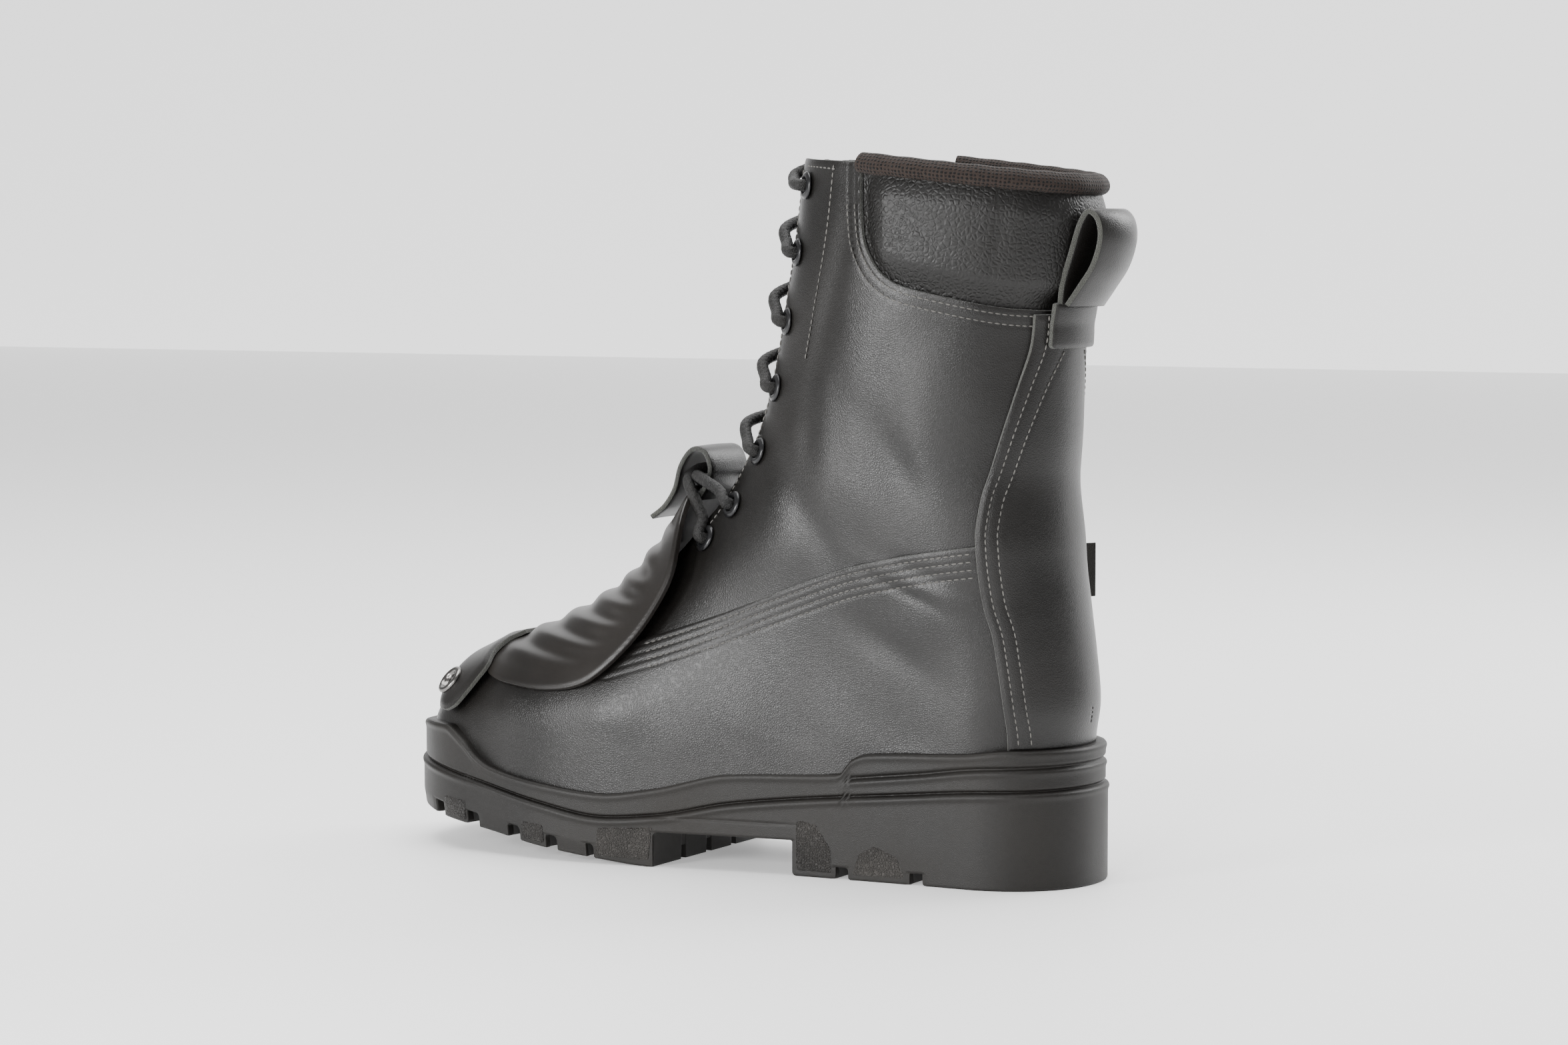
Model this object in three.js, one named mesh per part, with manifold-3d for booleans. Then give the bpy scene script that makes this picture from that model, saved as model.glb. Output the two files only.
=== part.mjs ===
// A left lace-up safety boot with an external metatarsal guard.
// Millimetres. +Y points to the toe, +X to the wearer's right, +Z up.
// The origin lies on the heel's flat tread, in the middle of its width.
import * as THREE from 'three';
import { mergeVertices } from 'three/addons/utils/BufferGeometryUtils.js';
import Module from 'manifold-3d';

const wasm = await Module();
wasm.setup();

// ---------------------------------------------------------------- driving dimensions
const HEEL_REAR_Y = -53;          // rearmost point of the sole
const TOE_Y = 272;                // foremost point of the sole
const HEEL_BREAST_Y = 68;         // front face of the heel block
const FORE_TREAD_Y = 131;         // where the forefoot tread starts
const SHAFT_TOP_Z = 300;          // top corner of the eyelet facings
const BINDING_R = 4.2;            // rolled fabric binding on the collar

const LEATHER = 2.0;              // one layer of upper leather
const GAP = 0.3;                  // clearance between separate pieces
const OUTER = LEATHER + GAP;      // outside of a second leather layer
const LINING = 2.0;
const STIFFENER = 2.0;            // toe cap and heel counter
const TONGUE_OUT = -9.8;          // tongue's outer face, below the quarters
const TONGUE_IN = -13.6;
const FACING_BACK = 1.5;          // reinforcement behind the eyelets

const FACING_EDGE_X = 19;         // half the opening between the two facings
const EYELET_HOLE_R = 3.2;
const EYELET_BARREL_R = 3.9;
const EYELET_FLANGE_R = 6.0;
const EYELETS = [                 // y, z of one side's eyelets, lowest first
  [119, 139], [105, 154], [92.5, 177], [84.5, 204], [78.5, 232], [73, 261], [67.5, 289],
];
const LACE_R = 2.4;

const STRAP_W = 36;               // pull loop strap
const STRAP_T = 2.4;
const LUG_DEPTH = 6;
const WAIST_Z = 15;               // underside of the arch above the ground

// ---------------------------------------------------------------- small helpers
const clamp = (v, lo, hi) => Math.min(hi, Math.max(lo, v));
const mix = (a, b, t) => a + (b - a) * t;

function ease(lo, hi, v) {
  const t = clamp((v - lo) / (hi - lo), 0, 1);
  return t * t * (3 - 2 * t);
}

// Smooth value through a few [position, value] pairs, with no overshoot between them.
function through(pairs) {
  const xs = pairs.map((p) => p[0]);
  const ys = pairs.map((p) => p[1]);
  const last = xs.length - 1;
  const rise = xs.slice(1).map((x, i) => (ys[i + 1] - ys[i]) / (x - xs[i]));
  const slope = xs.map((_, i) => {
    if (i === 0) return rise[0];
    if (i === last) return rise[last - 1];
    const product = rise[i - 1] * rise[i];
    return product <= 0 ? 0 : (2 * product) / (rise[i - 1] + rise[i]);
  });
  return (at) => {
    if (at <= xs[0]) return ys[0];
    if (at >= xs[last]) return ys[last];
    let i = 0;
    while (at > xs[i + 1]) i += 1;
    const h = xs[i + 1] - xs[i];
    const t = (at - xs[i]) / h;
    const a = 1 + t * t * (2 * t - 3);
    const b = t * (1 - t) * (1 - t) * h;
    const c = t * t * (t - 1) * h;
    return a * ys[i] + b * slope[i] + (1 - a) * ys[i + 1] + c * slope[i + 1];
  };
}

// ---------------------------------------------------------------- shape of the upper
// Side profiles of the quarter leather's outside, as [y, z].
const FRONT_LINE = [
  [263.5, 28], [263.5, 44], [262, 54], [256, 64], [245, 74], [231, 81], [215, 88.5], [200, 95],
  [180, 104.5], [160, 117], [142, 133], [127, 150], [115, 165], [105, 182], [98, 200],
  [92.5, 222], [88, 245], [83.5, 270], [79, 302],
];
const REAR_LINE = [
  [-42, 30], [-43, 58], [-45, 75], [-43, 95], [-40.5, 112], [-37.5, 135], [-37, 160],
  [-38.5, 185], [-39.5, 210], [-41, 234], [-45.5, 260], [-49.5, 285], [-50, 302],
];
const PROFILE_STEPS = 160;

function profile(points) {
  const curve = new THREE.SplineCurve(points.map((p) => new THREE.Vector2(p[0], p[1])));
  const samples = curve.getSpacedPoints(PROFILE_STEPS);
  const length = curve.getLength();
  const at = (share) => curve.getPointAt(clamp(share, 0, 1));
  // Signed distance from the profile and the share of its length at the nearest point.
  const measure = (y, z, inward) => {
    let best = Infinity;
    let share = 0;
    let sign = 1;
    for (let i = 0; i < PROFILE_STEPS; i += 1) {
      const a = samples[i];
      const b = samples[i + 1];
      const dy = b.x - a.x;
      const dz = b.y - a.y;
      const t = clamp(((y - a.x) * dy + (z - a.y) * dz) / (dy * dy + dz * dz), 0, 1);
      const py = y - a.x - t * dy;
      const pz = z - a.y - t * dz;
      const d = py * py + pz * pz;
      if (d < best) {
        best = d;
        share = (i + t) / PROFILE_STEPS;
        sign = (dy * pz - dz * py) * inward >= 0 ? 1 : -1;
      }
    }
    return { d: Math.sqrt(best) * sign, share };
  };
  return { at, measure, length };
}

const front = profile(FRONT_LINE);
const rear = profile(REAR_LINE);

const footWidth = through([
  [-50, 35.5], [20, 35.5], [60, 36], [95, 38.5], [130, 44], [160, 49], [185, 50.8], [205, 50],
  [225, 47.5], [270, 46],
]);
const shaftWidth = through([
  [40, 36], [75, 37], [110, 38.5], [140, 41], [165, 42.5], [190, 44.5], [234, 47], [270, 48.5],
  [300, 49.5],
]);
const footCentre = through([[-50, 0], [10, 0], [60, -2.5], [100, -4], [150, -2], [200, 2], [262, 7]]);
const frontReach = through([
  [0, 44], [0.14, 40], [0.22, 38], [0.32, 50], [0.45, 58], [0.62, 58], [0.72, 62], [1, 65],
]);
const frontPower = through([[0, 2.4], [0.2, 2.5], [0.35, 2.2], [0.6, 2.0], [1, 2.1]]);
const rearReach = through([[40, 38], [100, 39], [140, 43], [190, 55], [234, 62], [300, 64]]);

const roundOff = (share, power) => (1 - (1 - clamp(share, 0, 1)) ** power) ** (1 / power);

// Half-width of the upper at a place in side view.
function halfWidth(y, z) {
  const ahead = front.measure(y, z, 1);
  const behind = rear.measure(y, z, -1);
  if (ahead.d <= 0 || behind.d <= 0) return 0;
  const full = mix(footWidth(y), shaftWidth(z), ease(60, 140, z));
  return full
    * roundOff(ahead.d / frontReach(ahead.share), frontPower(ahead.share))
    * roundOff(behind.d / rearReach(z), 2.1);
}

const middleX = (y, z) => footCentre(y) * (1 - ease(50, 130, z));

// Lower edge of the upper, tucked inside the sole, and the sole's visible top edge.
const upperFoot = through([
  [-53, 46], [20, 44.5], [60, 41], [98, 34.5], [130, 28], [155, 26], [190, 31], [215, 36], [240, 41],
  [264, 45],
]);
const rimTop = through([
  [-53, 57.5], [-31, 57.5], [-10, 55.5], [34, 53], [41, 50.5], [47, 44], [98, 41], [130, 33.5],
  [155, 30], [190, 33], [214, 37.5], [221, 41], [230, 48.5], [241, 54], [255, 54], [272, 52],
]);

// Rear height that each share of the front profile is joined to.
const rearPartner = through([
  [0, 45], [0.16, 60], [0.3, 78], [0.43, 98], [0.56, 126], [0.66, 160], [0.78, 208], [1, 301],
]);
const START_SHARE = 0.04;
const rearShareOf = (z) => {
  let share = 0;
  while (share < 1 && rear.at(share).y < z) share += 0.002;
  return share;
};
const FOOT_FADE = 0.35;

// A ring round the upper: from the rear point, along the left side to the front, and back.
function ringPoint(share, turn) {
  const f = front.at(share);
  const r = rear.at(rearShareOf(rearPartner(share)));
  const along = (1 - Math.cos(Math.PI * turn)) / 2;
  const y = mix(r.x, f.x, along);
  const f0 = front.at(START_SHARE);
  const dip = upperFoot(y) - mix(upperFoot(-53), f0.y, (y + 43) / (f0.x + 43));
  const fade = clamp(1 - (share - START_SHARE) / FOOT_FADE, 0, 1) ** 2;
  return new THREE.Vector2(y, mix(r.y, f.y, along) + dip * fade);
}

// Point of the upper's skin for a ring share and a turn from 0 (rear) over 1 (front) to 2 (rear).
function skinPoint(share, turn) {
  const side = turn <= 1 ? -1 : 1;
  const p = ringPoint(share, turn <= 1 ? turn : 2 - turn);
  const half = turn === 0 || turn === 1 ? 0 : halfWidth(p.x, p.y);
  return new THREE.Vector3(middleX(p.x, p.y) + side * half, p.x, p.y);
}

const wrap = (turn) => ((turn % 2) + 2) % 2;

function skinAt(share, turn, offset) {
  const at = skinPoint(share, wrap(turn));
  const down = skinPoint(Math.max(share - 0.004, 0), wrap(turn));
  const up = skinPoint(Math.min(share + 0.004, 1), wrap(turn));
  const before = skinPoint(share, wrap(turn - 0.012));
  const after = skinPoint(share, wrap(turn + 0.012));
  const around = turn === 1 ? new THREE.Vector3(1, 0, 0) : after.sub(before);
  const normal = up.sub(down).cross(around).normalize();
  return { at: at.addScaledVector(normal, offset), normal };
}

// Place on the left (-1) or right (+1) side of the shaft at a given y and z, with its normal.
function sideAt(side, y, z, offset) {
  const at = (yy, zz) => new THREE.Vector3(middleX(yy, zz) + side * halfWidth(yy, zz), yy, zz);
  const alongY = at(y + 0.5, z).sub(at(y - 0.5, z));
  const alongZ = at(y, z + 0.5).sub(at(y, z - 0.5));
  const normal = alongY.cross(alongZ).multiplyScalar(side).normalize();
  return { at: at(y, z).addScaledVector(normal, offset), normal };
}

// ---------------------------------------------------------------- solids
function geometryFrom(vertices, triangles) {
  const geometry = new THREE.BufferGeometry();
  geometry.setAttribute('position', new THREE.BufferAttribute(new Float32Array(vertices), 3));
  geometry.setIndex(triangles);
  return geometry;
}

function solid(geometry) {
  const bare = geometry.clone();
  for (const name of ['normal', 'uv']) bare.deleteAttribute(name);
  const merged = mergeVertices(bare, 1e-4);
  return new wasm.Manifold(new wasm.Mesh({
    numProp: 3,
    vertProperties: new Float32Array(merged.attributes.position.array),
    triVerts: new Uint32Array(merged.index.array),
  }));
}

function plain(manifold) {
  const mesh = manifold.getMesh();
  return geometryFrom(mesh.vertProperties, Array.from(mesh.triVerts));
}

// Closed mesh between two grids of points; rows run along the sheet, columns across it.
function sheetBetween(inner, outer, closedColumns) {
  const rows = inner.length;
  const columns = inner[0].length;
  const vertices = [];
  for (const grid of [outer, inner]) grid.flat().forEach((p) => vertices.push(p.x, p.y, p.z));
  const id = (layer, r, c) => layer * rows * columns + r * columns + (c % columns);
  const triangles = [];
  const quad = (a, b, c, d) => triangles.push(a, c, b, a, d, c);
  const lastColumn = closedColumns ? columns : columns - 1;
  for (let r = 0; r < rows - 1; r += 1) {
    for (let c = 0; c < lastColumn; c += 1) {
      quad(id(0, r, c), id(0, r, c + 1), id(0, r + 1, c + 1), id(0, r + 1, c));
      quad(id(1, r, c), id(1, r + 1, c), id(1, r + 1, c + 1), id(1, r, c + 1));
    }
  }
  for (let c = 0; c < lastColumn; c += 1) {
    const r = rows - 1;
    quad(id(0, 0, c), id(1, 0, c), id(1, 0, c + 1), id(0, 0, c + 1));
    quad(id(0, r, c), id(0, r, c + 1), id(1, r, c + 1), id(1, r, c));
  }
  if (!closedColumns) {
    const c = columns - 1;
    for (let r = 0; r < rows - 1; r += 1) {
      quad(id(0, r, 0), id(0, r + 1, 0), id(1, r + 1, 0), id(1, r, 0));
      quad(id(0, r, c), id(1, r, c), id(1, r + 1, c), id(0, r + 1, c));
    }
  }
  return geometryFrom(vertices, triangles);
}

// One grid of skin places serves every layer, so layers never cut through each other.
const RINGS = 24;
const TURNS = 28;
const skinGrid = Array.from({ length: RINGS + 1 }, (_, r) => (
  Array.from({ length: TURNS }, (__, c) => skinAt(mix(START_SHARE, 1, r / RINGS), (2 * c) / TURNS, 0))
));

// A band of the upper all the way round, between two offsets from the quarter's outside.
function layer(inner, outer, from = 0, to = RINGS) {
  const value = (offset, at) => (typeof offset === 'function' ? offset(at) : offset);
  const rows = skinGrid.slice(from, to + 1);
  const grid = (offset) => rows.map((row) => row.map(({ at, normal }) => (
    at.clone().addScaledVector(normal, value(offset, at)))));
  return solid(sheetBetween(grid(inner), grid(outer), true));
}

// Solid over a side-view outline of [y, z] points, from one x to another.
function sidePrism(points, x0 = -90, x1 = 90) {
  const shape = new THREE.Shape(points.map((p) => new THREE.Vector2(p[0], p[1])));
  const geometry = new THREE.ExtrudeGeometry(shape, { depth: x1 - x0, bevelEnabled: false });
  const basis = new THREE.Matrix4().makeBasis(
    new THREE.Vector3(0, 1, 0), new THREE.Vector3(0, 0, 1), new THREE.Vector3(1, 0, 0),
  );
  geometry.applyMatrix4(basis);
  geometry.translate(x0, 0, 0);
  return solid(geometry);
}

// Solid over an end-view outline of [x, z] points, from one y to another.
function endPrism(points, y0, y1) {
  const shape = new THREE.Shape(points.map((p) => new THREE.Vector2(p[0], p[1])));
  const geometry = new THREE.ExtrudeGeometry(shape, { depth: y1 - y0, bevelEnabled: false });
  const basis = new THREE.Matrix4().makeBasis(
    new THREE.Vector3(1, 0, 0), new THREE.Vector3(0, 0, 1), new THREE.Vector3(0, -1, 0),
  );
  geometry.applyMatrix4(basis);
  geometry.translate(0, y1, 0);
  return solid(geometry);
}

function block(x0, x1, y0, y1, z0, z1) {
  const geometry = new THREE.BoxGeometry(x1 - x0, y1 - y0, z1 - z0);
  geometry.translate((x0 + x1) / 2, (y0 + y1) / 2, (z0 + z1) / 2);
  return solid(geometry);
}

// Cylinder or ring with its axis along a direction.
function along(geometry, at, direction) {
  const turn = new THREE.Quaternion().setFromUnitVectors(new THREE.Vector3(0, 1, 0), direction);
  geometry.applyQuaternion(turn);
  geometry.translate(at.x, at.y, at.z);
  return geometry;
}

// Solid standing on a plan outline, between two heights that change along y.
function pillar(outline, lowZ, highZ) {
  const n = outline.length;
  const vertices = [];
  for (const height of [lowZ, highZ]) outline.forEach((p) => vertices.push(p.x, p.y, height(p.y)));
  const triangles = [];
  for (let i = 0; i < n; i += 1) {
    const j = (i + 1) % n;
    triangles.push(i, j + n, j, i, i + n, j + n);
  }
  for (let i = 0; i < n / 2; i += 1) {
    const a = i;
    const b = i + 1;
    const c = (n - i - 1) % n;
    const d = (n - i) % n;
    if (a !== d) triangles.push(a, b, d, a + n, d + n, b + n);
    if (b !== c) triangles.push(b, c, d, b + n, d + n, c + n);
  }
  return solid(geometryFrom(vertices, triangles));
}

const OUTLINE_POINTS = 48;
const FLOOR_SHARE = 0.08;
function upperOutline(offset, share = FLOOR_SHARE) {
  return Array.from({ length: TURNS }, (_, i) => skinAt(share, (2 * i) / TURNS, offset).at);
}

// ---------------------------------------------------------------- sole
const soleWidth = through([
  [-53, 41.5], [20, 41.5], [60, 41], [95, 43], [130, 49], [165, 55], [190, 57], [210, 56], [272, 50],
]);
const soleCentre = through([[-53, 0], [10, 0], [60, -2], [100, -3.5], [150, -2], [200, 2], [262, 6]]);

function soleOutline(grow) {
  return Array.from({ length: OUTLINE_POINTS }, (_, i) => {
    const turn = (2 * i) / OUTLINE_POINTS;
    const side = turn <= 1 ? -1 : 1;
    const y = mix(HEEL_REAR_Y, TOE_Y, (1 - Math.cos(Math.PI * turn)) / 2);
    const half = soleWidth(y) * roundOff((y - HEEL_REAR_Y) / 42, 2.1) * roundOff((TOE_Y - y) / 50, 2.3);
    const stretch = half > 0 ? (half + grow) / half : 1;
    const yShift = ((y > 110 ? 1 : -1) * grow) * (1 - clamp(half / 35, 0, 1));
    return new THREE.Vector3(soleCentre(y) + side * Math.max(half * stretch, 0), y + yShift, 0);
  });
}

const soleSplit = through([
  [-53, 41], [-20, 40.2], [22, 36.5], [64, 32.5], [97, 28.5], [130, 22], [155, 20], [187, 24.5],
  [225, 32], [250, 36], [272, 38.5],
]);
const treadZ = through([[-53, 0], [132, 0], [155, 2], [188, 6], [215, 10.5], [250, 15], [272, 18]]);
const boardZ = (lift) => (y) => upperFoot(y) + lift;

function outsole() {
  const outline = soleOutline(0);
  const slab = pillar(outline, (y) => treadZ(y) + LUG_DEPTH, soleSplit)
    .subtract(block(-80, 80, HEEL_BREAST_Y, FORE_TREAD_Y, -5, WAIST_Z));
  let tread = pillar(soleOutline(-1.2), treadZ, (y) => treadZ(y) + LUG_DEPTH + 0.5)
    .subtract(block(-80, 80, HEEL_BREAST_Y, FORE_TREAD_Y, -5, WAIST_Z));
  for (const [y, width] of [[160, 4], [179, 6], [199, 7], [222, 7], [244, 7]]) {
    tread = tread.subtract(block(-80, 80, y - width / 2, y + width / 2, -5, treadZ(y) + LUG_DEPTH));
  }
  for (const y of [45, 11]) {
    for (const side of [-1, 1]) {
      const inner = Math.min(side * 20, side * 80);
      const outer = Math.max(side * 20, side * 80);
      tread = tread.subtract(block(inner, outer, y - 3, y + 3, -5, LUG_DEPTH - 1));
    }
  }
  return slab.add(tread);
}

function midsole() {
  let rand = pillar(soleOutline(0), (y) => soleSplit(y) + GAP, rimTop);
  for (const share of [START_SHARE, FLOOR_SHARE, 2 * FLOOR_SHARE]) {
    rand = rand.subtract(pillar(upperOutline(OUTER + 0.7, share), boardZ(-4.5), () => 90));
  }
  return rand;
}

// ---------------------------------------------------------------- upper panels
const SEAM = [
  [-60, 146], [-14, 141], [13, 137], [37, 132], [54, 127], [84, 116], [102, 109], [130, 99], [158, 90],
];
const SEAM_UNDERLAP = 9;
const COLLAR_EDGE = [
  [-60, 236], [-35, 237.5], [-22, 239], [-3, 243], [14, 247], [22, 250.5], [28, 256], [33, 266],
];
const COLLAR_UNDERLAP = 8;
const collarEdgeZ = through(COLLAR_EDGE);
const collarTopZ = (y) => 289 + 0.11 * y;

const facingSlot = () => endPrism([
  [-FACING_EDGE_X, 320], [-FACING_EDGE_X, 165], [-15, 140], [-10, 112], [10, 112], [15, 140],
  [FACING_EDGE_X, 165], [FACING_EDGE_X, 320],
], 45, 220);

function eyeletHoles(side, radius) {
  return EYELETS.map(([y, z]) => {
    const { at, normal } = sideAt(side, y, z, 0);
    return solid(along(new THREE.CylinderGeometry(radius, radius, 16, 10), at, normal));
  });
}

const oneSide = (side) => {
  const x = side < 0 ? [-90, -GAP] : [GAP, 90];
  return block(...x, -80, 300, -10, 330);
};

function quarter(skin, side) {
  const bottom = SEAM.map(([y, z]) => [y, z - SEAM_UNDERLAP]);
  const region = sidePrism([
    ...bottom, [166, 92], [166, 130], [120, 303], [82, SHAFT_TOP_Z + 1], [34.5, 298],
    ...COLLAR_EDGE.slice().reverse(),
  ]);
  let panel = skin.intersect(region).intersect(oneSide(side)).subtract(facingSlot());
  for (const hole of eyeletHoles(side, EYELET_BARREL_R + GAP)) panel = panel.subtract(hole);
  return panel;
}

function facing(side) {
  const skin = layer(-LEATHER - GAP - FACING_BACK, -LEATHER - GAP, 9);
  const strip = endPrism([[19.5 * side, 297], [36 * side, 297], [36 * side, 132], [15.5 * side, 132],
    [19.5 * side, 165]], 40, 150);
  let panel = skin.intersect(strip);
  for (const hole of eyeletHoles(side, EYELET_BARREL_R + GAP)) panel = panel.subtract(hole);
  return panel;
}

function vamp() {
  const region = sidePrism([
    ...SEAM, [161, 100], [157, 114], [149, 124], [144, 145], [300, 145], [300, -10], [-80, -10],
    [-80, 149],
  ]);
  return layer(GAP, OUTER, 0, 17).intersect(region);
}

const BACKSTAY = [
  [-80, 236], [-34, 236], [-32, 222], [-28, 206], [-23, 187], [-19, 172], [-16, 162], [-14, 149],
  [-14, 141], [-15, 129], [-17, 116], [-20, 105], [-22, 93], [-25, 71], [-25.5, 57.5], [-80, 57.5],
];

function backstay() {
  const over = (p) => (OUTER + GAP) * (1 - ease(149, 160, p.z));
  return layer((p) => GAP + over(p), (p) => OUTER + over(p), 0, 22).intersect(sidePrism(BACKSTAY));
}

function puff(p) {
  const aboveEdge = ease(12, 26, p.z - collarEdgeZ(p.y));
  return aboveEdge * ease(0, 12, collarTopZ(p.y) + 4 - p.z) * ease(0, 14, 21 - p.y);
}
const COLLAR_PUFF = 5;
const COLLAR_SKIN = 1.3;

function collarRegion() {
  const below = COLLAR_EDGE.map(([y, z]) => [y, z - COLLAR_UNDERLAP]);
  return sidePrism([
    ...below.slice(0, 6), [40, 256], [42, 266], [42, collarTopZ(42)], [-70, collarTopZ(-70)],
    [-70, 228],
  ]);
}

function collarPanel() {
  const outer = (p) => -LEATHER - GAP + COLLAR_PUFF * puff(p);
  return layer((p) => outer(p) - COLLAR_SKIN, outer, 18).intersect(collarRegion());
}

const liningDepth = (p) => mix(-5.0, -9.2, ease(215, 236, p.z) * ease(0, 12, 42 - p.y));

function collarFoam() {
  const outer = (p) => -LEATHER - GAP + COLLAR_PUFF * puff(p) - COLLAR_SKIN - GAP;
  const inside = (p) => liningDepth(p) + 1;
  const region = sidePrism([
    [-70, 241], [-8, 246], [12, 251], [25, 259], [30, 269], [30, collarTopZ(30)], [-70, collarTopZ(-70)],
  ]);
  return layer(inside, outer, 18).intersect(region);
}

function lining() {
  const opening = endPrism([[-37.4, 320], [-37.4, 127.3], [37.4, 127.3], [37.4, 320]], 40, 200);
  const top = sidePrism([[-80, 276.3], [-80, 340], [100, 340], [100, 291.3], [38.6, 290.2]]);
  return layer((p) => liningDepth(p) - LINING, liningDepth)
    .subtract(opening).subtract(top);
}

function tongue() {
  const shape = endPrism([[-33, 285], [-28, 292], [28, 292], [33, 285], [33, 150], [26, 132], [-26, 132],
    [-33, 150]], 30, 180);
  const ahead = sidePrism([[50, 310], [50, 240], [58, 195], [76, 155], [92, 128], [180, 128], [180, 310]]);
  return layer(TONGUE_IN, TONGUE_OUT, 9).intersect(shape).intersect(ahead);
}

function toeCap() {
  return layer(-LEATHER - GAP - STIFFENER, -LEATHER - GAP, 0, 9)
    .intersect(block(-90, 90, 208, 300, -10, 120));
}

function heelCounter() {
  return layer(-LEATHER - GAP - STIFFENER, -LEATHER - GAP, 0, 12)
    .intersect(sidePrism([[-80, 0], [44, 0], [40, 70], [20, 96], [-10, 104], [-80, 106]]));
}

function collarBinding() {
  const stations = 26;
  const points = Array.from({ length: stations + 1 }, (_, i) => {
    const turn = mix(-0.55, 0.55, i / stations);
    const plan = skinPoint(0.975, wrap(turn));
    return skinAt(0.975, wrap(turn), -2.6).at.setZ(collarTopZ(plan.y) + BINDING_R + 3 * GAP);
  });
  const path = new THREE.CatmullRomCurve3(points);
  const shape = new THREE.Shape().absellipse(0, 0, BINDING_R, BINDING_R + 0.6, 0, 2 * Math.PI);
  return solid(new THREE.ExtrudeGeometry(shape, {
    steps: 60, extrudePath: path, curveSegments: 3, bevelEnabled: false,
  }));
}

// ---------------------------------------------------------------- metatarsal guard
const guardRise = through([[110, 13], [125, 10.5], [145, 7.5], [170, 4.8], [200, 3.8], [232, 3.6]]);
const GUARD_T = 2.5;
const STRAP_LEATHER = 2.4;

function guardShell() {
  const region = sidePrism([
    [232, 140], [232, 84], [224, 77], [206, 72], [187, 71], [170, 73], [155, 82], [141, 96],
    [129, 112], [125, 124], [124, 140], [125, 153], [180, 153],
  ]);
  return layer((p) => guardRise(p.y), (p) => guardRise(p.y) + GUARD_T, 1, 19)
    .intersect(region);
}

function strapRise(p) {
  return mix(guardRise(232) + GUARD_T + GAP, OUTER + 5 * GAP, ease(237, 250, p.y))
    + (guardRise(p.y) - guardRise(232)) * (p.y < 232 ? 1 : 0);
}

const RIVET_AT = [239, 67];
function toeStrap() {
  const region = sidePrism([
    [231, 61], [219, 75], [220.5, 80], [215, 87], [204, 96], [190, 105], [186, 120], [234, 120],
    [243, 92], [247.5, 78], [248, 66], [243.5, 59], [237, 58],
  ]);
  let strap = layer(strapRise, (p) => strapRise(p) + STRAP_LEATHER, 0, 10)
    .intersect(region);
  for (const side of [-1, 1]) {
    const { at, normal } = sideAt(side, ...RIVET_AT, 0);
    strap = strap.subtract(solid(along(new THREE.CylinderGeometry(3, 3, 20, 16), at, normal)));
  }
  return strap;
}

function toeRivet(side) {
  const seat = strapRise({ y: RIVET_AT[0] }) + STRAP_LEATHER + 2 * GAP;
  const { at, normal } = sideAt(side, ...RIVET_AT, seat);
  const profileLine = [
    [0, -STRAP_LEATHER], [2.6, -STRAP_LEATHER], [2.6, 0], [6.6, 0], [6.6, 0.7], [5.8, 1.5], [4.4, 1.7],
    [3.4, 1.2], [0, 1.0],
  ].map(([r, h]) => new THREE.Vector2(r, h));
  return along(new THREE.LatheGeometry(profileLine, 14), at, normal);
}

// Band of even thickness along a side-view curve, as an outline of [y, z] points.
function bandOutline(points, thickness, steps) {
  const curve = new THREE.SplineCurve(points.map((p) => new THREE.Vector2(p[0], p[1])));
  const edge = (sign) => Array.from({ length: steps + 1 }, (_, i) => {
    const p = curve.getPointAt(i / steps);
    const t = curve.getTangentAt(i / steps);
    return [p.x - sign * t.y * (thickness / 2), p.y + sign * t.x * (thickness / 2)];
  });
  return [...edge(1), ...edge(-1).reverse()];
}

const LACE_LOOP = [
  [129, 155], [124.5, 162], [123, 169], [126, 175.5], [132, 176], [137.5, 169], [140.5, 159], [145.5, 151.5],
  [152, 146.5],
];
const guardLaceLoop = () => sidePrism(bandOutline(LACE_LOOP, 2.2, 16), -16, 16);

// ---------------------------------------------------------------- pull loop and label
const PULL_LOOP = [
  [-46.5, 242], [-47.8, 250], [-51.6, 262], [-55.2, 273], [-59, 278], [-63.2, 274.5], [-64.2, 266.5],
  [-61.5, 257], [-56, 249], [-51.4, 242.4],
];
const pullLoop = () => sidePrism(bandOutline(PULL_LOOP, STRAP_T, 22), -STRAP_W / 2, STRAP_W / 2)
  .add(block(-STRAP_W / 2, STRAP_W / 2, -52.5, -45.3, 240.3, 242.6));
const pullLoopTab = () => layer(OUTER + GAP, OUTER + GAP + 2 * STRAP_T, 16)
  .intersect(block(-STRAP_W / 2, STRAP_W / 2, -80, -10, 224, 240));

const LABEL_ROOT = new THREE.Vector3(35.2, -19.5, 126);
function label() {
  const outline = [[0, -12], [9, -12], [14.5, 11.5], [0, 11.5]];
  const shape = new THREE.Shape(outline.map((p) => new THREE.Vector2(...p)));
  const geometry = new THREE.ExtrudeGeometry(shape, { depth: 1, bevelEnabled: false });
  const out = new THREE.Vector3(0.87, -0.49, 0).normalize();
  const up = new THREE.Vector3(0, 0, 1);
  geometry.applyMatrix4(new THREE.Matrix4().makeBasis(out, up, out.clone().cross(up)));
  geometry.translate(LABEL_ROOT.x + out.x * 4.6, LABEL_ROOT.y + out.y * 4.6, LABEL_ROOT.z);
  return geometry;
}

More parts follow.
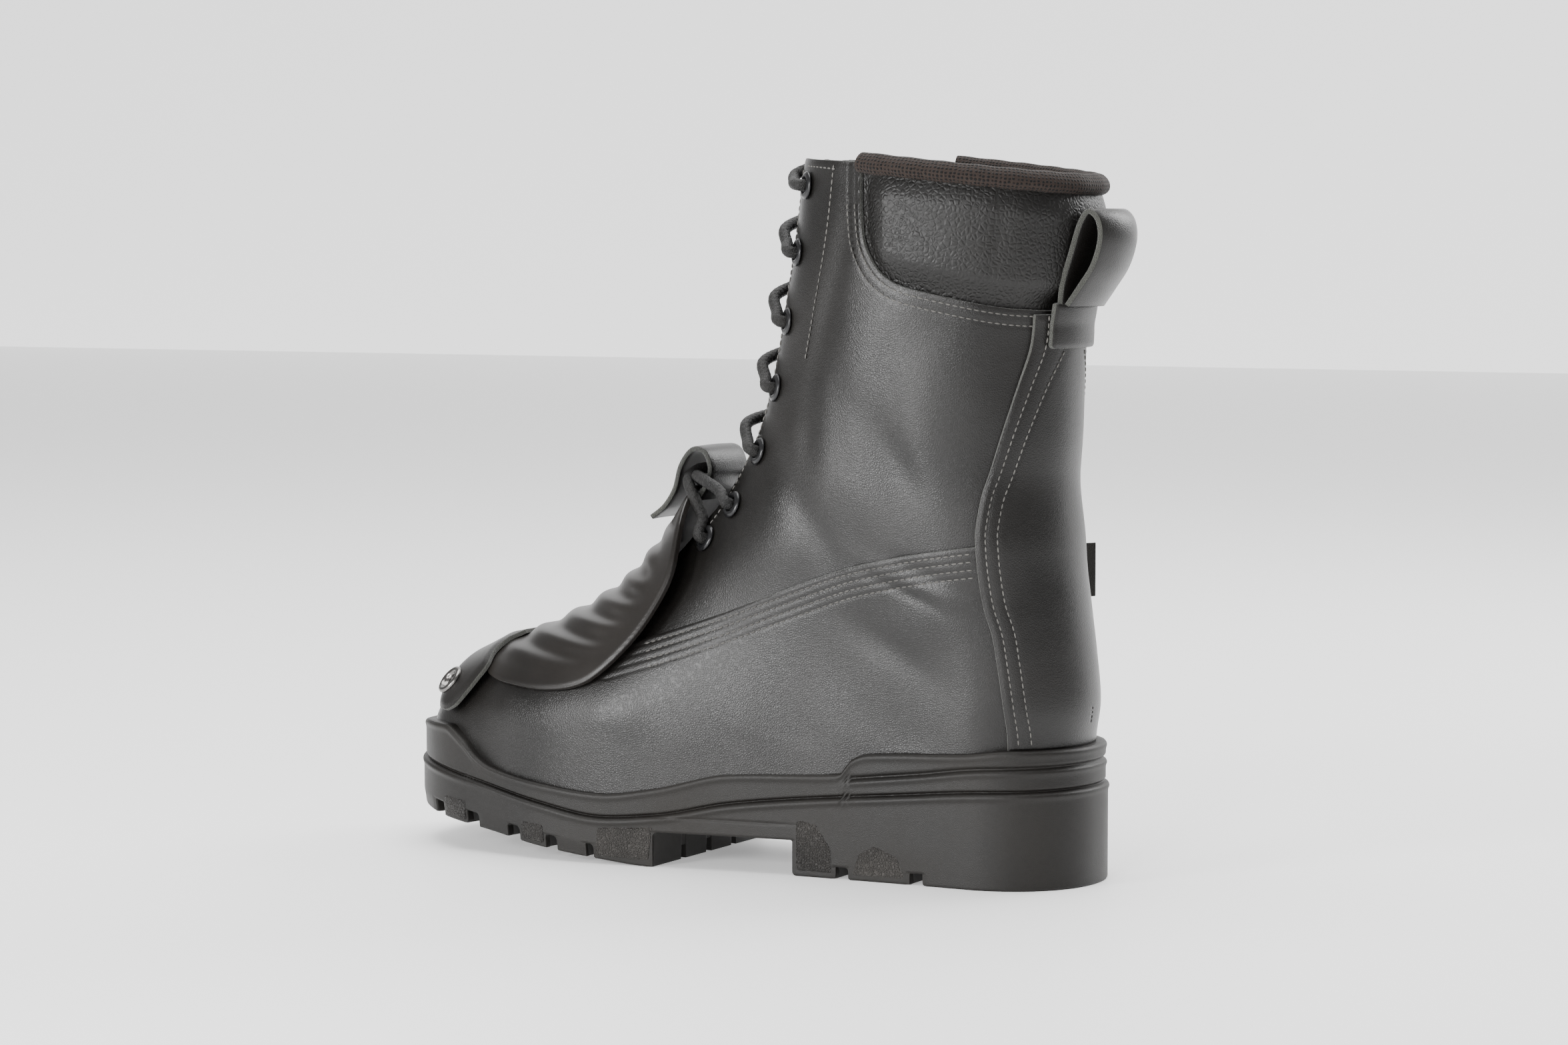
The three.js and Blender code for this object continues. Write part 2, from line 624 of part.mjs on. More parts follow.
// ---------------------------------------------------------------- eyelets and lace
function eyelet(side, index) {
  const [y, z] = EYELETS[index];
  const { at, normal } = sideAt(side, y, z, GAP);
  const inner = -LEATHER - GAP - FACING_BACK - 2 * GAP;
  const section = [
    [EYELET_HOLE_R, 1.1], [EYELET_FLANGE_R, 0.5], [EYELET_FLANGE_R, 0], [EYELET_BARREL_R, 0],
    [EYELET_BARREL_R, inner], [EYELET_HOLE_R, inner], [EYELET_HOLE_R, 1.1],
  ].map(([r, h]) => new THREE.Vector2(r, h)).reverse();
  return along(new THREE.LatheGeometry(section, 10), at, normal);
}

// Where the lace stands at an eyelet: outside, through its middle and behind the facing.
const LACE_UNDER = -6.85;         // lace between the facings and the tongue
function laceStops(side, index) {
  return [LACE_UNDER, -2.4, 3.8].map((offset) => sideAt(side, ...EYELETS[index], offset).at);
}

// Place on the front of the shaft at an x and a height, off the quarter's outside.
function frontShareAt(z) {
  let share = 0.3;
  while (share < 1 && front.at(share).y < z) share += 0.002;
  return share;
}
function frontAt(x, z, offset) {
  const share = frontShareAt(z);
  if (x === 0) return skinAt(share, 1, offset).at;
  let y = front.at(share).x;
  while (halfWidth(y, z) < Math.abs(x - middleX(y, z))) y -= 0.1;
  return sideAt(Math.sign(x), y, z, offset).at;
}

// Hand-placed way from one eyelet's outside, over the facing's edge and under the other one.
function crossing(side, index) {
  const z = (share) => mix(EYELETS[index][1], EYELETS[index + 1][1], share);
  return [
    frontAt(side * 21, z(0.12), 3.4), frontAt(side * 12, z(0.32), 4.2 - side * 1.5),
    frontAt(0, z(0.5), -0.8 - side * 2.9), frontAt(-side * 14, z(0.74), LACE_UNDER),
    frontAt(-side * 20.5, z(0.88), LACE_UNDER),
  ];
}

// From behind one facing to behind the other, seen only in the gap between them.
function hiddenCrossing(side, index) {
  const z = (share) => mix(EYELETS[index][1], EYELETS[index + 1][1], share);
  return [
    frontAt(side * 20.5, z(0.14), LACE_UNDER), frontAt(side * 14, z(0.28), LACE_UNDER),
    frontAt(0, z(0.52), -4 - side * 2.8), frontAt(-side * 14, z(0.74), LACE_UNDER),
    frontAt(-side * 20.5, z(0.88), LACE_UNDER),
  ];
}

// From the lowest eyelet up through the guard's lace loop to the other side's second eyelet.
function loopCrossing(side) {
  const lane = (x, y, z, cross) => new THREE.Vector3(side * x, y, z - side * cross);
  return [
    lane(22, 123, 147.5, 0), lane(20, 128.5, 156.5, 0), lane(15.5, 133.5, 163.5, 0),
    lane(8, 133, 164, 3.1), lane(0, 131, 164.4, 3.3), lane(-8, 129.6, 164.4, 3.1),
    lane(-15.5, 129.4, 165, 0), lane(-21.5, 122, 163.4, 0), lane(-25, 113, 159.5, 0),
  ];
}

// From the top eyelet over the tongue's top edge and down inside the shaft.
function tuckedEnd(side) {
  return [
    [21, 79, 291], [13.5, 82, 294], [10, 76, 296.8], [9.3, 67, 297.4], [9, 61, 293], [9, 59.5, 283],
    [9, 60, 245],
  ].map(([x, y, z]) => new THREE.Vector3(side * x, y, z));
}

// Half of the lace, from the middle of its lowest bar to its end.
function laceHalf(first) {
  const points = [...laceStops(first, 0), ...loopCrossing(first)];
  points.push(...laceStops(-first, 1).reverse(), ...hiddenCrossing(-first, 1));
  for (let i = 2; i < EYELETS.length; i += 1) {
    const side = i % 2 === 0 ? first : -first;
    points.push(...laceStops(side, i));
    if (i < EYELETS.length - 1) points.push(...crossing(side, i));
    else points.push(...tuckedEnd(side));
  }
  return points;
}

// A curve that is divided at its own points, so a tube along it passes through each of them.
class HandCurve extends THREE.CatmullRomCurve3 {
  getPointAt(share) { return this.getPoint(share); }

  getTangentAt(share) { return this.getTangent(share); }
}

function lace() {
  const bar = [-12, 0, 12].map((x) => frontAt(x, 137, LACE_UNDER));
  const points = [...laceHalf(-1).reverse(), ...bar, ...laceHalf(1)];
  const path = new HandCurve(points, false, 'centripetal');
  const shape = new THREE.Shape().absarc(0, 0, LACE_R, 0, 2 * Math.PI);
  return new THREE.ExtrudeGeometry(shape, {
    steps: points.length - 1, extrudePath: path, curveSegments: 4, bevelEnabled: false,
  });
}

// ---------------------------------------------------------------- floor of the boot
function insoleBoard() {
  return pillar(upperOutline(-7.4), boardZ(-1.4), boardZ(0.6));
}
function puncturePlate() {
  return pillar(upperOutline(-1), boardZ(-2.7), boardZ(-1.8));
}
function footbed() {
  return pillar(upperOutline(-9.2), boardZ(0.9), boardZ(5.4));
}
function shank() {
  return pillar(upperOutline(-1), boardZ(-4.2), boardZ(-3)).intersect(block(-7, 7, 15, 128, 0, 80));
}

// ---------------------------------------------------------------- assembly
const boot = new THREE.Group();
const finishes = {
  soleRubber: { color: 0x17160f, roughness: 0.72, metalness: 0 },
  midsoleFoam: { color: 0x1c1b18, roughness: 0.55, metalness: 0 },
  smoothLeather: { color: 0x151412, roughness: 0.42, metalness: 0 },
  pebbledLeather: { color: 0x1b1a18, roughness: 0.5, metalness: 0 },
  lacquer: { color: 0x1a1a1b, roughness: 0.35, metalness: 0.3 },
  meshFabric: { color: 0x2b211c, roughness: 0.9, metalness: 0 },
  liningFabric: { color: 0x33302c, roughness: 0.95, metalness: 0 },
  braid: { color: 0x1a1817, roughness: 0.75, metalness: 0 },
  guardRubber: { color: 0x1d1c19, roughness: 0.4, metalness: 0 },
  woven: { color: 0x211f1f, roughness: 0.9, metalness: 0 },
  foam: { color: 0x8a8578, roughness: 0.95, metalness: 0 },
  board: { color: 0xa89878, roughness: 0.9, metalness: 0 },
  capPlastic: { color: 0x4a4c4f, roughness: 0.6, metalness: 0 },
  footbedFoam: { color: 0x26272b, roughness: 0.9, metalness: 0 },
  steel: { color: 0x9a9ca0, roughness: 0.35, metalness: 0.9 },
};

function add(name, shape, finish) {
  const geometry = shape instanceof THREE.BufferGeometry ? shape : plain(shape);
  const mesh = new THREE.Mesh(geometry, new THREE.MeshStandardMaterial(finishes[finish]));
  mesh.name = name;
  boot.add(mesh);
}

add('outsole', outsole(), 'soleRubber');
add('midsole', midsole(), 'midsoleFoam');
const quarterSkin = layer(-LEATHER, 0, 2);
add('quarter_left', quarter(quarterSkin, -1), 'smoothLeather');
add('quarter_right', quarter(quarterSkin, 1), 'smoothLeather');
add('facing_left', facing(-1), 'smoothLeather');
add('facing_right', facing(1), 'smoothLeather');
add('vamp', vamp(), 'smoothLeather');
add('backstay', backstay(), 'smoothLeather');
add('collar_panel', collarPanel(), 'pebbledLeather');
add('collar_foam', collarFoam(), 'foam');
add('lining', lining(), 'liningFabric');
add('tongue', tongue(), 'pebbledLeather');
add('toe_cap', toeCap(), 'capPlastic');
add('heel_counter', heelCounter(), 'board');
add('collar_binding', collarBinding(), 'meshFabric');
add('guard_shell', guardShell(), 'guardRubber');
add('guard_toe_strap', toeStrap(), 'smoothLeather');
add('guard_lace_loop', guardLaceLoop(), 'smoothLeather');
add('guard_rivet_left', toeRivet(-1), 'lacquer');
add('guard_rivet_right', toeRivet(1), 'lacquer');
add('pull_loop', pullLoop(), 'smoothLeather');
add('pull_loop_tab', pullLoopTab(), 'smoothLeather');
add('label', label(), 'woven');
add('lace', lace(), 'braid');
add('insole_board', insoleBoard(), 'board');
add('puncture_plate', puncturePlate(), 'woven');
add('footbed', footbed(), 'footbedFoam');
add('shank', shank(), 'steel');
EYELETS.forEach((_, i) => {
  add(`eyelet_left_${i + 1}`, eyelet(-1, i), 'lacquer');
  add(`eyelet_right_${i + 1}`, eyelet(1, i), 'lacquer');
});

export default boot;
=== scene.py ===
# The looks of a left lace-up fire boot with a metatarsal guard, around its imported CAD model.
# Shapes are worked out in millimetres and written to the meshes in metres.
import math
import bpy
import numpy as np
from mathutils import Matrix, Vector


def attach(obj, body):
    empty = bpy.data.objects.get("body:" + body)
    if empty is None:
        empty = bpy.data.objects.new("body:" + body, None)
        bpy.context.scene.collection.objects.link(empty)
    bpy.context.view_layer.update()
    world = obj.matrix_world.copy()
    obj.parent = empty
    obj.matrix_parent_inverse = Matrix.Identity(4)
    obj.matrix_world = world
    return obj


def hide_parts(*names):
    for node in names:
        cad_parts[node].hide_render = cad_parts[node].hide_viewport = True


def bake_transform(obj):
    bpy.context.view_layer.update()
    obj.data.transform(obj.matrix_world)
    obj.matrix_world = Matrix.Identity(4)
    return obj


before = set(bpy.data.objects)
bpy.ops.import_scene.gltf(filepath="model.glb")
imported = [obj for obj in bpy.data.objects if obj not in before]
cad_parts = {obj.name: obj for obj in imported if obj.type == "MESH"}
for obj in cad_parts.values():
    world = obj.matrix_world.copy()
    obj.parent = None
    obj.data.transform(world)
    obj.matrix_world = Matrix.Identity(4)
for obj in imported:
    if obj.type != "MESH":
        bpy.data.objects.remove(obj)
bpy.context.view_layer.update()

MM = 0.001
LEATHER, GAP = 2.0, 0.3
OUTER = LEATHER + GAP
HEEL_REAR_Y, TOE_Y = -53.0, 272.0
HEEL_BREAST_Y, FORE_TREAD_Y = 68.0, 131.0
LUG_DEPTH, WAIST_Z = 6.0, 15.0
FACING_EDGE_X = 19.0
EYELETS = [[119, 139], [105, 154], [92.5, 177], [84.5, 204], [78.5, 232], [73, 261], [67.5, 289]]
LACE_R, LACE_UNDER = 2.4, -6.85


# ---------------------------------------------------------------- small helpers
def mix(a, b, t):
    return a + (b - a) * t


def ease(lo, hi, v):
    t = np.clip((np.asarray(v, float) - lo) / (hi - lo), 0, 1)
    return t * t * (3 - 2 * t)


def through(pairs):
    """Smooth value through [position, value] pairs, with no overshoot between them."""
    xs, ys = np.array(pairs, float).T
    rise = np.diff(ys) / np.diff(xs)
    slope = np.concatenate([rise[:1], rise[:-1], rise[-1:]])[:len(xs)]
    slope[-1] = rise[-1]
    product, total = rise[:-1] * rise[1:], rise[:-1] + rise[1:]
    slope[1:-1] = np.where(product > 0, 2 * product / np.where(total == 0, 1, total), 0)

    def value(at):
        at = np.clip(np.asarray(at, float), xs[0], xs[-1])
        i = np.clip(np.searchsorted(xs, at, side="right") - 1, 0, len(xs) - 2)
        h = xs[i + 1] - xs[i]
        t = (at - xs[i]) / h
        a = 1 + t * t * (2 * t - 3)
        return (a * ys[i] + t * (1 - t) ** 2 * h * slope[i]
                + (1 - a) * ys[i + 1] + t * t * (t - 1) * h * slope[i + 1])
    return value


def spline(points, steps=24):
    """Catmull-Rom line through points, divided evenly along its length into rows of points."""
    points = np.array(points, float)
    ends = np.vstack([points[:1], points, points[-1:]])
    t = np.linspace(0, 1, steps, endpoint=False)[:, None]
    parts = []
    for p0, p1, p2, p3 in zip(ends, ends[1:], ends[2:], ends[3:]):
        v0, v1 = (p2 - p0) / 2, (p3 - p1) / 2
        parts.append(p1 + v0 * t + (3 * (p2 - p1) - 2 * v0 - v1) * t ** 2
                     + (2 * (p1 - p2) + v0 + v1) * t ** 3)
    return np.vstack(parts + [points[-1:]])


def run_of(line):
    return np.concatenate([[0], np.cumsum(np.linalg.norm(np.diff(line, axis=0), axis=1))])


def spaced(line, step):
    """The same line with its points an even step apart."""
    run = run_of(line)
    at = np.linspace(0, run[-1], max(2, int(round(run[-1] / step)) + 1))
    return np.stack([np.interp(at, run, line[:, k]) for k in range(line.shape[1])], -1)


# ---------------------------------------------------------------- shape of the upper
class Profile:
    """Side view of the upper's front or rear, as [y, z]."""

    def __init__(self, points, inward):
        self.line = spline(points, 40)
        run = run_of(self.line)
        self.share, self.length, self.inward = run / run[-1], run[-1], inward
        self.samples = self.at(np.linspace(0, 1, 161))

    def at(self, share):
        return np.stack([np.interp(share, self.share, self.line[:, k]) for k in (0, 1)], -1)

    def measure(self, y, z):
        best = np.full(np.shape(y), np.inf)
        share, sign = np.zeros_like(best), np.ones_like(best)
        for i, (a, b) in enumerate(zip(self.samples, self.samples[1:])):
            d = b - a
            t = np.clip(((y - a[0]) * d[0] + (z - a[1]) * d[1]) / (d @ d), 0, 1)
            py, pz = y - a[0] - t * d[0], z - a[1] - t * d[1]
            far = py * py + pz * pz
            near = far < best
            best = np.where(near, far, best)
            share = np.where(near, (i + t) / 160, share)
            sign = np.where(near, np.where((d[0] * pz - d[1] * py) * self.inward >= 0, 1, -1), sign)
        return np.sqrt(best) * sign, share


front = Profile([
    [263.5, 28], [263.5, 44], [262, 54], [256, 64], [245, 74], [231, 81], [215, 88.5], [200, 95],
    [180, 104.5], [160, 117], [142, 133], [127, 150], [115, 165], [105, 182], [98, 200],
    [92.5, 222], [88, 245], [83.5, 270], [79, 302]], 1)
rear = Profile([
    [-42, 30], [-43, 58], [-45, 75], [-43, 95], [-40.5, 112], [-37.5, 135], [-37, 160],
    [-38.5, 185], [-39.5, 210], [-41, 234], [-45.5, 260], [-49.5, 285], [-50, 302]], -1)

foot_width = through([[-50, 35.5], [20, 35.5], [60, 36], [95, 38.5], [130, 44], [160, 49],
                      [185, 50.8], [205, 50], [225, 47.5], [270, 46]])
shaft_width = through([[40, 36], [75, 37], [110, 38.5], [140, 41], [165, 42.5], [190, 44.5],
                       [234, 47], [270, 48.5], [300, 49.5]])
foot_centre = through([[-50, 0], [10, 0], [60, -2.5], [100, -4], [150, -2], [200, 2], [262, 7]])
front_reach = through([[0, 44], [0.14, 40], [0.22, 38], [0.32, 50], [0.45, 58], [0.62, 58],
                       [0.72, 62], [1, 65]])
front_power = through([[0, 2.4], [0.2, 2.5], [0.35, 2.2], [0.6, 2.0], [1, 2.1]])
rear_reach = through([[40, 38], [100, 39], [140, 43], [190, 55], [234, 62], [300, 64]])
upper_foot = through([[-53, 46], [20, 44.5], [60, 41], [98, 34.5], [130, 28], [155, 26],
                      [190, 31], [215, 36], [240, 41], [264, 45]])
rim_top = through([[-53, 57.5], [-31, 57.5], [-10, 55.5], [34, 53], [41, 50.5], [47, 44], [98, 41],
                   [130, 33.5], [155, 30], [190, 33], [214, 37.5], [221, 41], [230, 48.5],
                   [241, 54], [255, 54], [272, 52]])
rear_partner = through([[0, 45], [0.16, 60], [0.3, 78], [0.43, 98], [0.56, 126], [0.66, 160],
                        [0.78, 208], [1, 301]])
START_SHARE, FOOT_FADE = 0.04, 0.35


def round_off(share, power):
    return (1 - (1 - np.clip(share, 0, 1)) ** power) ** (1 / power)


def half_width(y, z, slack=0.0):
    ahead, share = front.measure(y, z)
    ahead = ahead + slack
    behind, _ = rear.measure(y, z)
    full = mix(foot_width(y), shaft_width(z), ease(60, 140, z))
    half = (full * round_off(ahead / front_reach(share), front_power(share))
            * round_off(behind / rear_reach(z), 2.1))
    return np.where((ahead <= 0) | (behind <= 0), 0, half)


def middle_x(y, z):
    return foot_centre(y) * (1 - ease(50, 130, z))


def ring_line(share, half_turn):
    """Side-view places on the rings of the upper, from the rear (0) to the front (1)."""
    f = front.at(share)
    r = rear.at(np.interp(rear_partner(share), rear.line[:, 1], rear.share))
    along = (1 - np.cos(np.pi * half_turn)) / 2
    y = mix(r[..., 0], f[..., 0], along)
    f0 = front.at(START_SHARE)
    dip = upper_foot(y) - mix(upper_foot(-53), f0[1], (y + 43) / (f0[0] + 43))
    fade = np.clip(1 - (share - START_SHARE) / FOOT_FADE, 0, 1) ** 2
    return y, mix(r[..., 1], f[..., 1], along) + dip * fade


# How far each ring's front point lies past the front profile, so that the toe closes smoothly.
SLACK_SHARES = np.linspace(0, 1, 201)
SLACK = np.maximum(-front.measure(*ring_line(SLACK_SHARES, np.ones(201)))[0], 0)


def skin_points(share, turn):
    """Points of the quarter's outside for ring shares and turns from 0 (rear) over 1 (front) to 2."""
    side = np.where(turn <= 1, -1, 1)
    half_turn = np.where(turn <= 1, turn, 2 - turn)
    y, z = ring_line(share, half_turn)
    half = np.where((half_turn <= 0) | (half_turn >= 1), 0,
                    half_width(y, z, np.interp(share, SLACK_SHARES, SLACK)))
    return np.stack([middle_x(y, z) + side * half, y, z], -1)


def unit(v):
    return v / np.maximum(np.linalg.norm(v, axis=-1, keepdims=True), 1e-9)


def grid_normals(p):
    """Outward normals of a grid whose rows climb and whose columns run once round."""
    ring = np.concatenate([p[:, -2:-1], p, p[:, 1:2]], 1)
    around = ring[:, 2:] - ring[:, :-2]
    up = np.gradient(p, axis=0)
    return unit(np.cross(up, around))


class Skin:
    def __init__(self, rows, columns, first=START_SHARE, last=1.0):
        self.share, self.turn = np.meshgrid(np.linspace(first, last, rows),
                                            np.linspace(0, 2, columns + 1), indexing="ij")
        self.p = skin_points(self.share, self.turn)
        self.n = grid_normals(self.p)
        self.x, self.y, self.z = np.moveaxis(self.p, -1, 0)


def side_at(side, y, z, offset=0.0):
    """Places on one side of the upper at side-view places, with their normals."""
    y, z = np.asarray(y, float), np.asarray(z, float)

    def at(yy, zz):
        return np.stack([middle_x(yy, zz) + side * half_width(yy, zz), yy, zz], -1)
    normal = unit(np.cross(at(y + 0.5, z) - at(y - 0.5, z), at(y, z + 0.5) - at(y, z - 0.5))) * side
    return at(y, z) + normal * np.asarray(offset, float)[..., None], normal


def front_share_at(z):
    return np.interp(z, front.line[:, 1], front.share)


def front_at(x, z, offset=0.0):
    """Place on the front of the shaft at an x and a height, off the quarter's outside."""
    y = front.at(front_share_at(z))[0]
    if x == 0:
        up = front.at(front_share_at(z) + 0.004) - front.at(front_share_at(z) - 0.004)
        normal = unit(np.array([0, up[1], -up[0]]))
        return np.array([middle_x(y, z), y, z]) + normal * offset, normal
    back = y - np.arange(0, 60, 0.1)
    y = back[np.argmax(half_width(back, np.full(back.shape, z)) >= abs(x - middle_x(back, z)))]
    return side_at(1 if x > 0 else -1, y, z, offset)


# ---------------------------------------------------------------- distance fields on the skin
def line_distance(a, b, line):
    """Distance from the places (a, b) to a line of points."""
    best = np.full(np.shape(a), np.inf)
    for p, q in zip(line, line[1:]):
        d = q - p
        t = np.clip(((a - p[0]) * d[0] + (b - p[1]) * d[1]) / max(d @ d, 1e-9), 0, 1)
        best = np.minimum(best, (a - p[0] - t * d[0]) ** 2 + (b - p[1] - t * d[1]) ** 2)
    return np.sqrt(best)


def inside_of(a, b, outline):
    """Distance inside a closed outline, negative outside it."""
    outline = np.array(outline, float)
    closed = np.vstack([outline, outline[:1]])
    crossings = np.zeros(np.shape(a), int)
    for p, q in zip(closed, closed[1:]):
        spans = (p[1] > b) != (q[1] > b)
        rise = q[1] - p[1] if q[1] != p[1] else 1e-9
        crossings += spans & (a < (q[0] - p[0]) * (b - p[1]) / rise + p[0])
    distance = line_distance(a, b, closed)
    return np.where(crossings % 2 == 1, distance, -distance)


# ---------------------------------------------------------------- meshes
def new_object(name, vertices, faces, materials, face_slots=None, normals=None, uvs=None):
    mesh = bpy.data.meshes.new(name)
    mesh.from_pydata((np.asarray(vertices) * MM).tolist(), [], faces)
    for material in materials:
        mesh.materials.append(material)
    if face_slots is not None:
        mesh.polygons.foreach_set("material_index", face_slots)
    mesh.polygons.foreach_set("use_smooth", [True] * len(mesh.polygons))
    if uvs is not None:
        layer = mesh.uv_layers.new(name="UVMap")
        loops = np.empty(len(mesh.loops), int)
        mesh.loops.foreach_get("vertex_index", loops)
        layer.data.foreach_set("uv", np.asarray(uvs, float)[loops].ravel())
    mesh.update()
    if normals is not None:
        mesh.normals_split_custom_set_from_vertices(np.asarray(normals).tolist())
    obj = bpy.data.objects.new(name, mesh)
    bpy.context.collection.objects.link(obj)
    return obj


def grid_faces(rows, columns, start=0, close=False, flip=False):
    """Quads of a grid whose rows climb and whose columns run to the left of the climb."""
    r, c = np.meshgrid(np.arange(rows - 1), np.arange(columns if close else columns - 1), indexing="ij")
    a = r * columns + c
    b = r * columns + (c + 1) % columns
    quads = np.stack([a, a + columns, b + columns, b], -1).reshape(-1, 4) + start
    return (quads[:, ::-1] if flip else quads).tolist()


def cut_grid(field):
    """Faces of the part of a grid where a field is above 0, cut exactly at 0.

    Every vertex is given as two grid places and the share of the way between them.
    """
    rows, columns = field.shape
    flat = field.ravel()
    ids, spots, faces = {}, [], []

    def vertex(a, b):
        key = (a, b) if a < b else (b, a)
        if key not in ids:
            ids[key] = len(spots)
            lo, hi = key
            t = 0.0 if lo == hi else min(max(flat[lo] / (flat[lo] - flat[hi]), 0.03), 0.97)
            spots.append((lo, hi, t))
        return ids[key]
    inside = field > 0
    count = (inside[:-1, :-1].astype(int) + inside[1:, :-1] + inside[1:, 1:] + inside[:-1, 1:])
    for r, c in zip(*np.nonzero(count > 0)):
        a = r * columns + c
        corners = [a, a + columns, a + columns + 1, a + 1]
        if count[r, c] == 4:
            faces.append([vertex(k, k) for k in corners])
            continue
        face = []
        for k, m in zip(corners, corners[1:] + corners[:1]):
            if flat[k] > 0:
                face.append(vertex(k, k))
            if (flat[k] > 0) != (flat[m] > 0):
                face.append(vertex(k, m))
        if len(face) > 2:
            faces.append(face)
    return np.array(spots), faces


def rim_edges(faces):
    """Edges that belong to one face only, in the direction of that face."""
    seen = {}
    for face in faces:
        for a, b in zip(face, face[1:] + face[:1]):
            if (b, a) in seen:
                del seen[(b, a)]
            else:
                seen[(a, b)] = True
    return list(seen)


def panel(name, skin, field, rise, thickness, surface, edge, soft=0.35, relief=0.0, back=False,
          round_edge=1.0):
    """A piece of sheet on the skin: its outside, its cut edges and, if seen, its back."""
    rise = np.broadcast_to(rise, field.shape)
    lift = rise - soft * np.clip(1 - field / round_edge, 0, 1) ** 2 + relief
    outside = skin.p + skin.n * lift[..., None]
    normals = grid_normals(outside)
    spots, faces = cut_grid(field)
    lo, hi, t = spots[:, 0].astype(int), spots[:, 1].astype(int), spots[:, 2:]

    def pick(grid):
        rows = grid.reshape(-1, grid.shape[-1])
        return rows[lo] * (1 - t) + rows[hi] * t
    top, top_normals, base_normals = pick(outside), unit(pick(normals)), unit(pick(skin.n))
    deep = top - base_normals * thickness
    vertices, all_normals = [top], [top_normals]
    all_faces, slots = list(faces), [0] * len(faces)
    edges = rim_edges(faces)
    rim = sorted({k for pair in edges for k in pair})
    place = {k: i for i, k in enumerate(rim)}
    outward = np.zeros((len(rim), 3))
    for a, b in edges:
        side = np.cross(top[b] - top[a], base_normals[a])
        outward[place[a]] += side
        outward[place[b]] += side
    outward = unit(outward)
    start = len(top)
    for down, out in ((0.0, 0.0), (0.3, 0.22), (0.75, 0.2), (1.0, 0.0)):
        ring = top[rim] + outward * out - base_normals[rim] * thickness * down
        vertices.append(ring)
        all_normals.append(outward if down else unit(outward + top_normals[rim]))
    for level in range(3):
        low, high = start + level * len(rim), start + (level + 1) * len(rim)
        for a, b in edges:
            all_faces.append([low + place[b], low + place[a], high + place[a], high + place[b]])
            slots.append(1)
    if back:
        start = sum(len(v) for v in vertices)
        vertices.append(deep)
        all_normals.append(-base_normals)
        all_faces += [[start + k for k in reversed(face)] for face in faces]
        slots += [2 if back == "lined" else 0] * len(faces)
    vertices = np.vstack(vertices)
    return new_object(name, vertices, all_faces, surface if isinstance(surface, list) else [surface, edge],
                      slots, np.vstack(all_normals))


def sweep(name, line, across, width, thickness, material, edge, bulge=0.0, steps=10):
    """A strap of even width and thickness along a line; its flat faces look along the bends."""
    tangent = unit(np.gradient(line, axis=0))
    across = unit(np.broadcast_to(across, line.shape))
    out = unit(np.cross(across, tangent))
    half, r = thickness / 2, thickness * 0.32
    corner = np.linspace(0, np.pi / 2, 4)
    section = []
    for k, (su, sv) in enumerate(((1, 1), (-1, 1), (-1, -1), (1, -1))):
        turns = corner if k % 2 == 0 else corner[::-1]
        for angle in turns:
            section.append([su * (width / 2 - r + r * np.cos(angle)), sv * (half - r + r * np.sin(angle))])
        nxt = ((-1, 1), (-1, -1), (1, -1), (1, 1))[k]
        if k % 2 == 0:
            for u in np.linspace(su, nxt[0], steps)[1:-1]:
                section.append([u * (width / 2 - r), sv * half])
    section = np.array(section)
    m = len(section)
    crown = bulge * (1 - (section[:, 0] / (width / 2)) ** 2)
    vertices = (line[:, None] + across[:, None] * section[None, :, :1]
                + out[:, None] * (section[:, 1] + crown)[None, :, None])
    faces = grid_faces(len(line), m, close=True, flip=True)
    slots = [1 if abs(section[k % m][1] + section[(k + 1) % m][1]) < 0.9 * 2 * half else 0
             for k in range(len(faces))]
    n = len(line) * m
    faces += [list(range(m))[::1], [n - 1 - k for k in range(m)]]
    slots += [1, 1]
    run = run_of(line)
    around = np.concatenate([[0], np.cumsum(np.linalg.norm(np.diff(section, axis=0), axis=1))])
    uvs = np.stack(np.meshgrid(run * MM, around * MM, indexing="ij"), -1).reshape(-1, 2)
    return new_object(name, vertices.reshape(-1, 3), faces, [material, edge], slots, uvs=uvs)


def tube(name, line, radius, material, sides=16, wide=1.0, relief=None, close_ends=True):
    """A round cord along a line; relief(run, angle) adds to its radius. UV: run and girth, in metres."""
    tangent = unit(np.gradient(line, axis=0))
    out = np.zeros_like(line)
    guess = np.array([0.31, 0.2, 0.93])
    for k in range(len(line)):
        guess = unit(guess - tangent[k] * (guess @ tangent[k]))
        out[k] = guess
    other = np.cross(tangent, out)
    angle = np.linspace(0, 2 * np.pi, sides + 1)
    run = run_of(line)
    r = np.full((len(line), sides + 1), float(radius))
    if relief is not None:
        r += relief(run[:, None], angle[None, :])
    ring = (line[:, None] + out[:, None] * (r * np.cos(angle))[..., None]
            + other[:, None] * (r * np.sin(angle) * wide)[..., None])
    faces = grid_faces(len(line), sides + 1)
    if close_ends:
        n = len(line) * (sides + 1)
        faces += [list(range(sides)), [n - 2 - k for k in range(sides)]]
    uvs = np.stack(np.meshgrid(run * MM, angle / (2 * np.pi) * 2 * np.pi * radius * MM, indexing="ij"), -1)
    return new_object(name, ring.reshape(-1, 3), faces, [material], uvs=uvs.reshape(-1, 2))


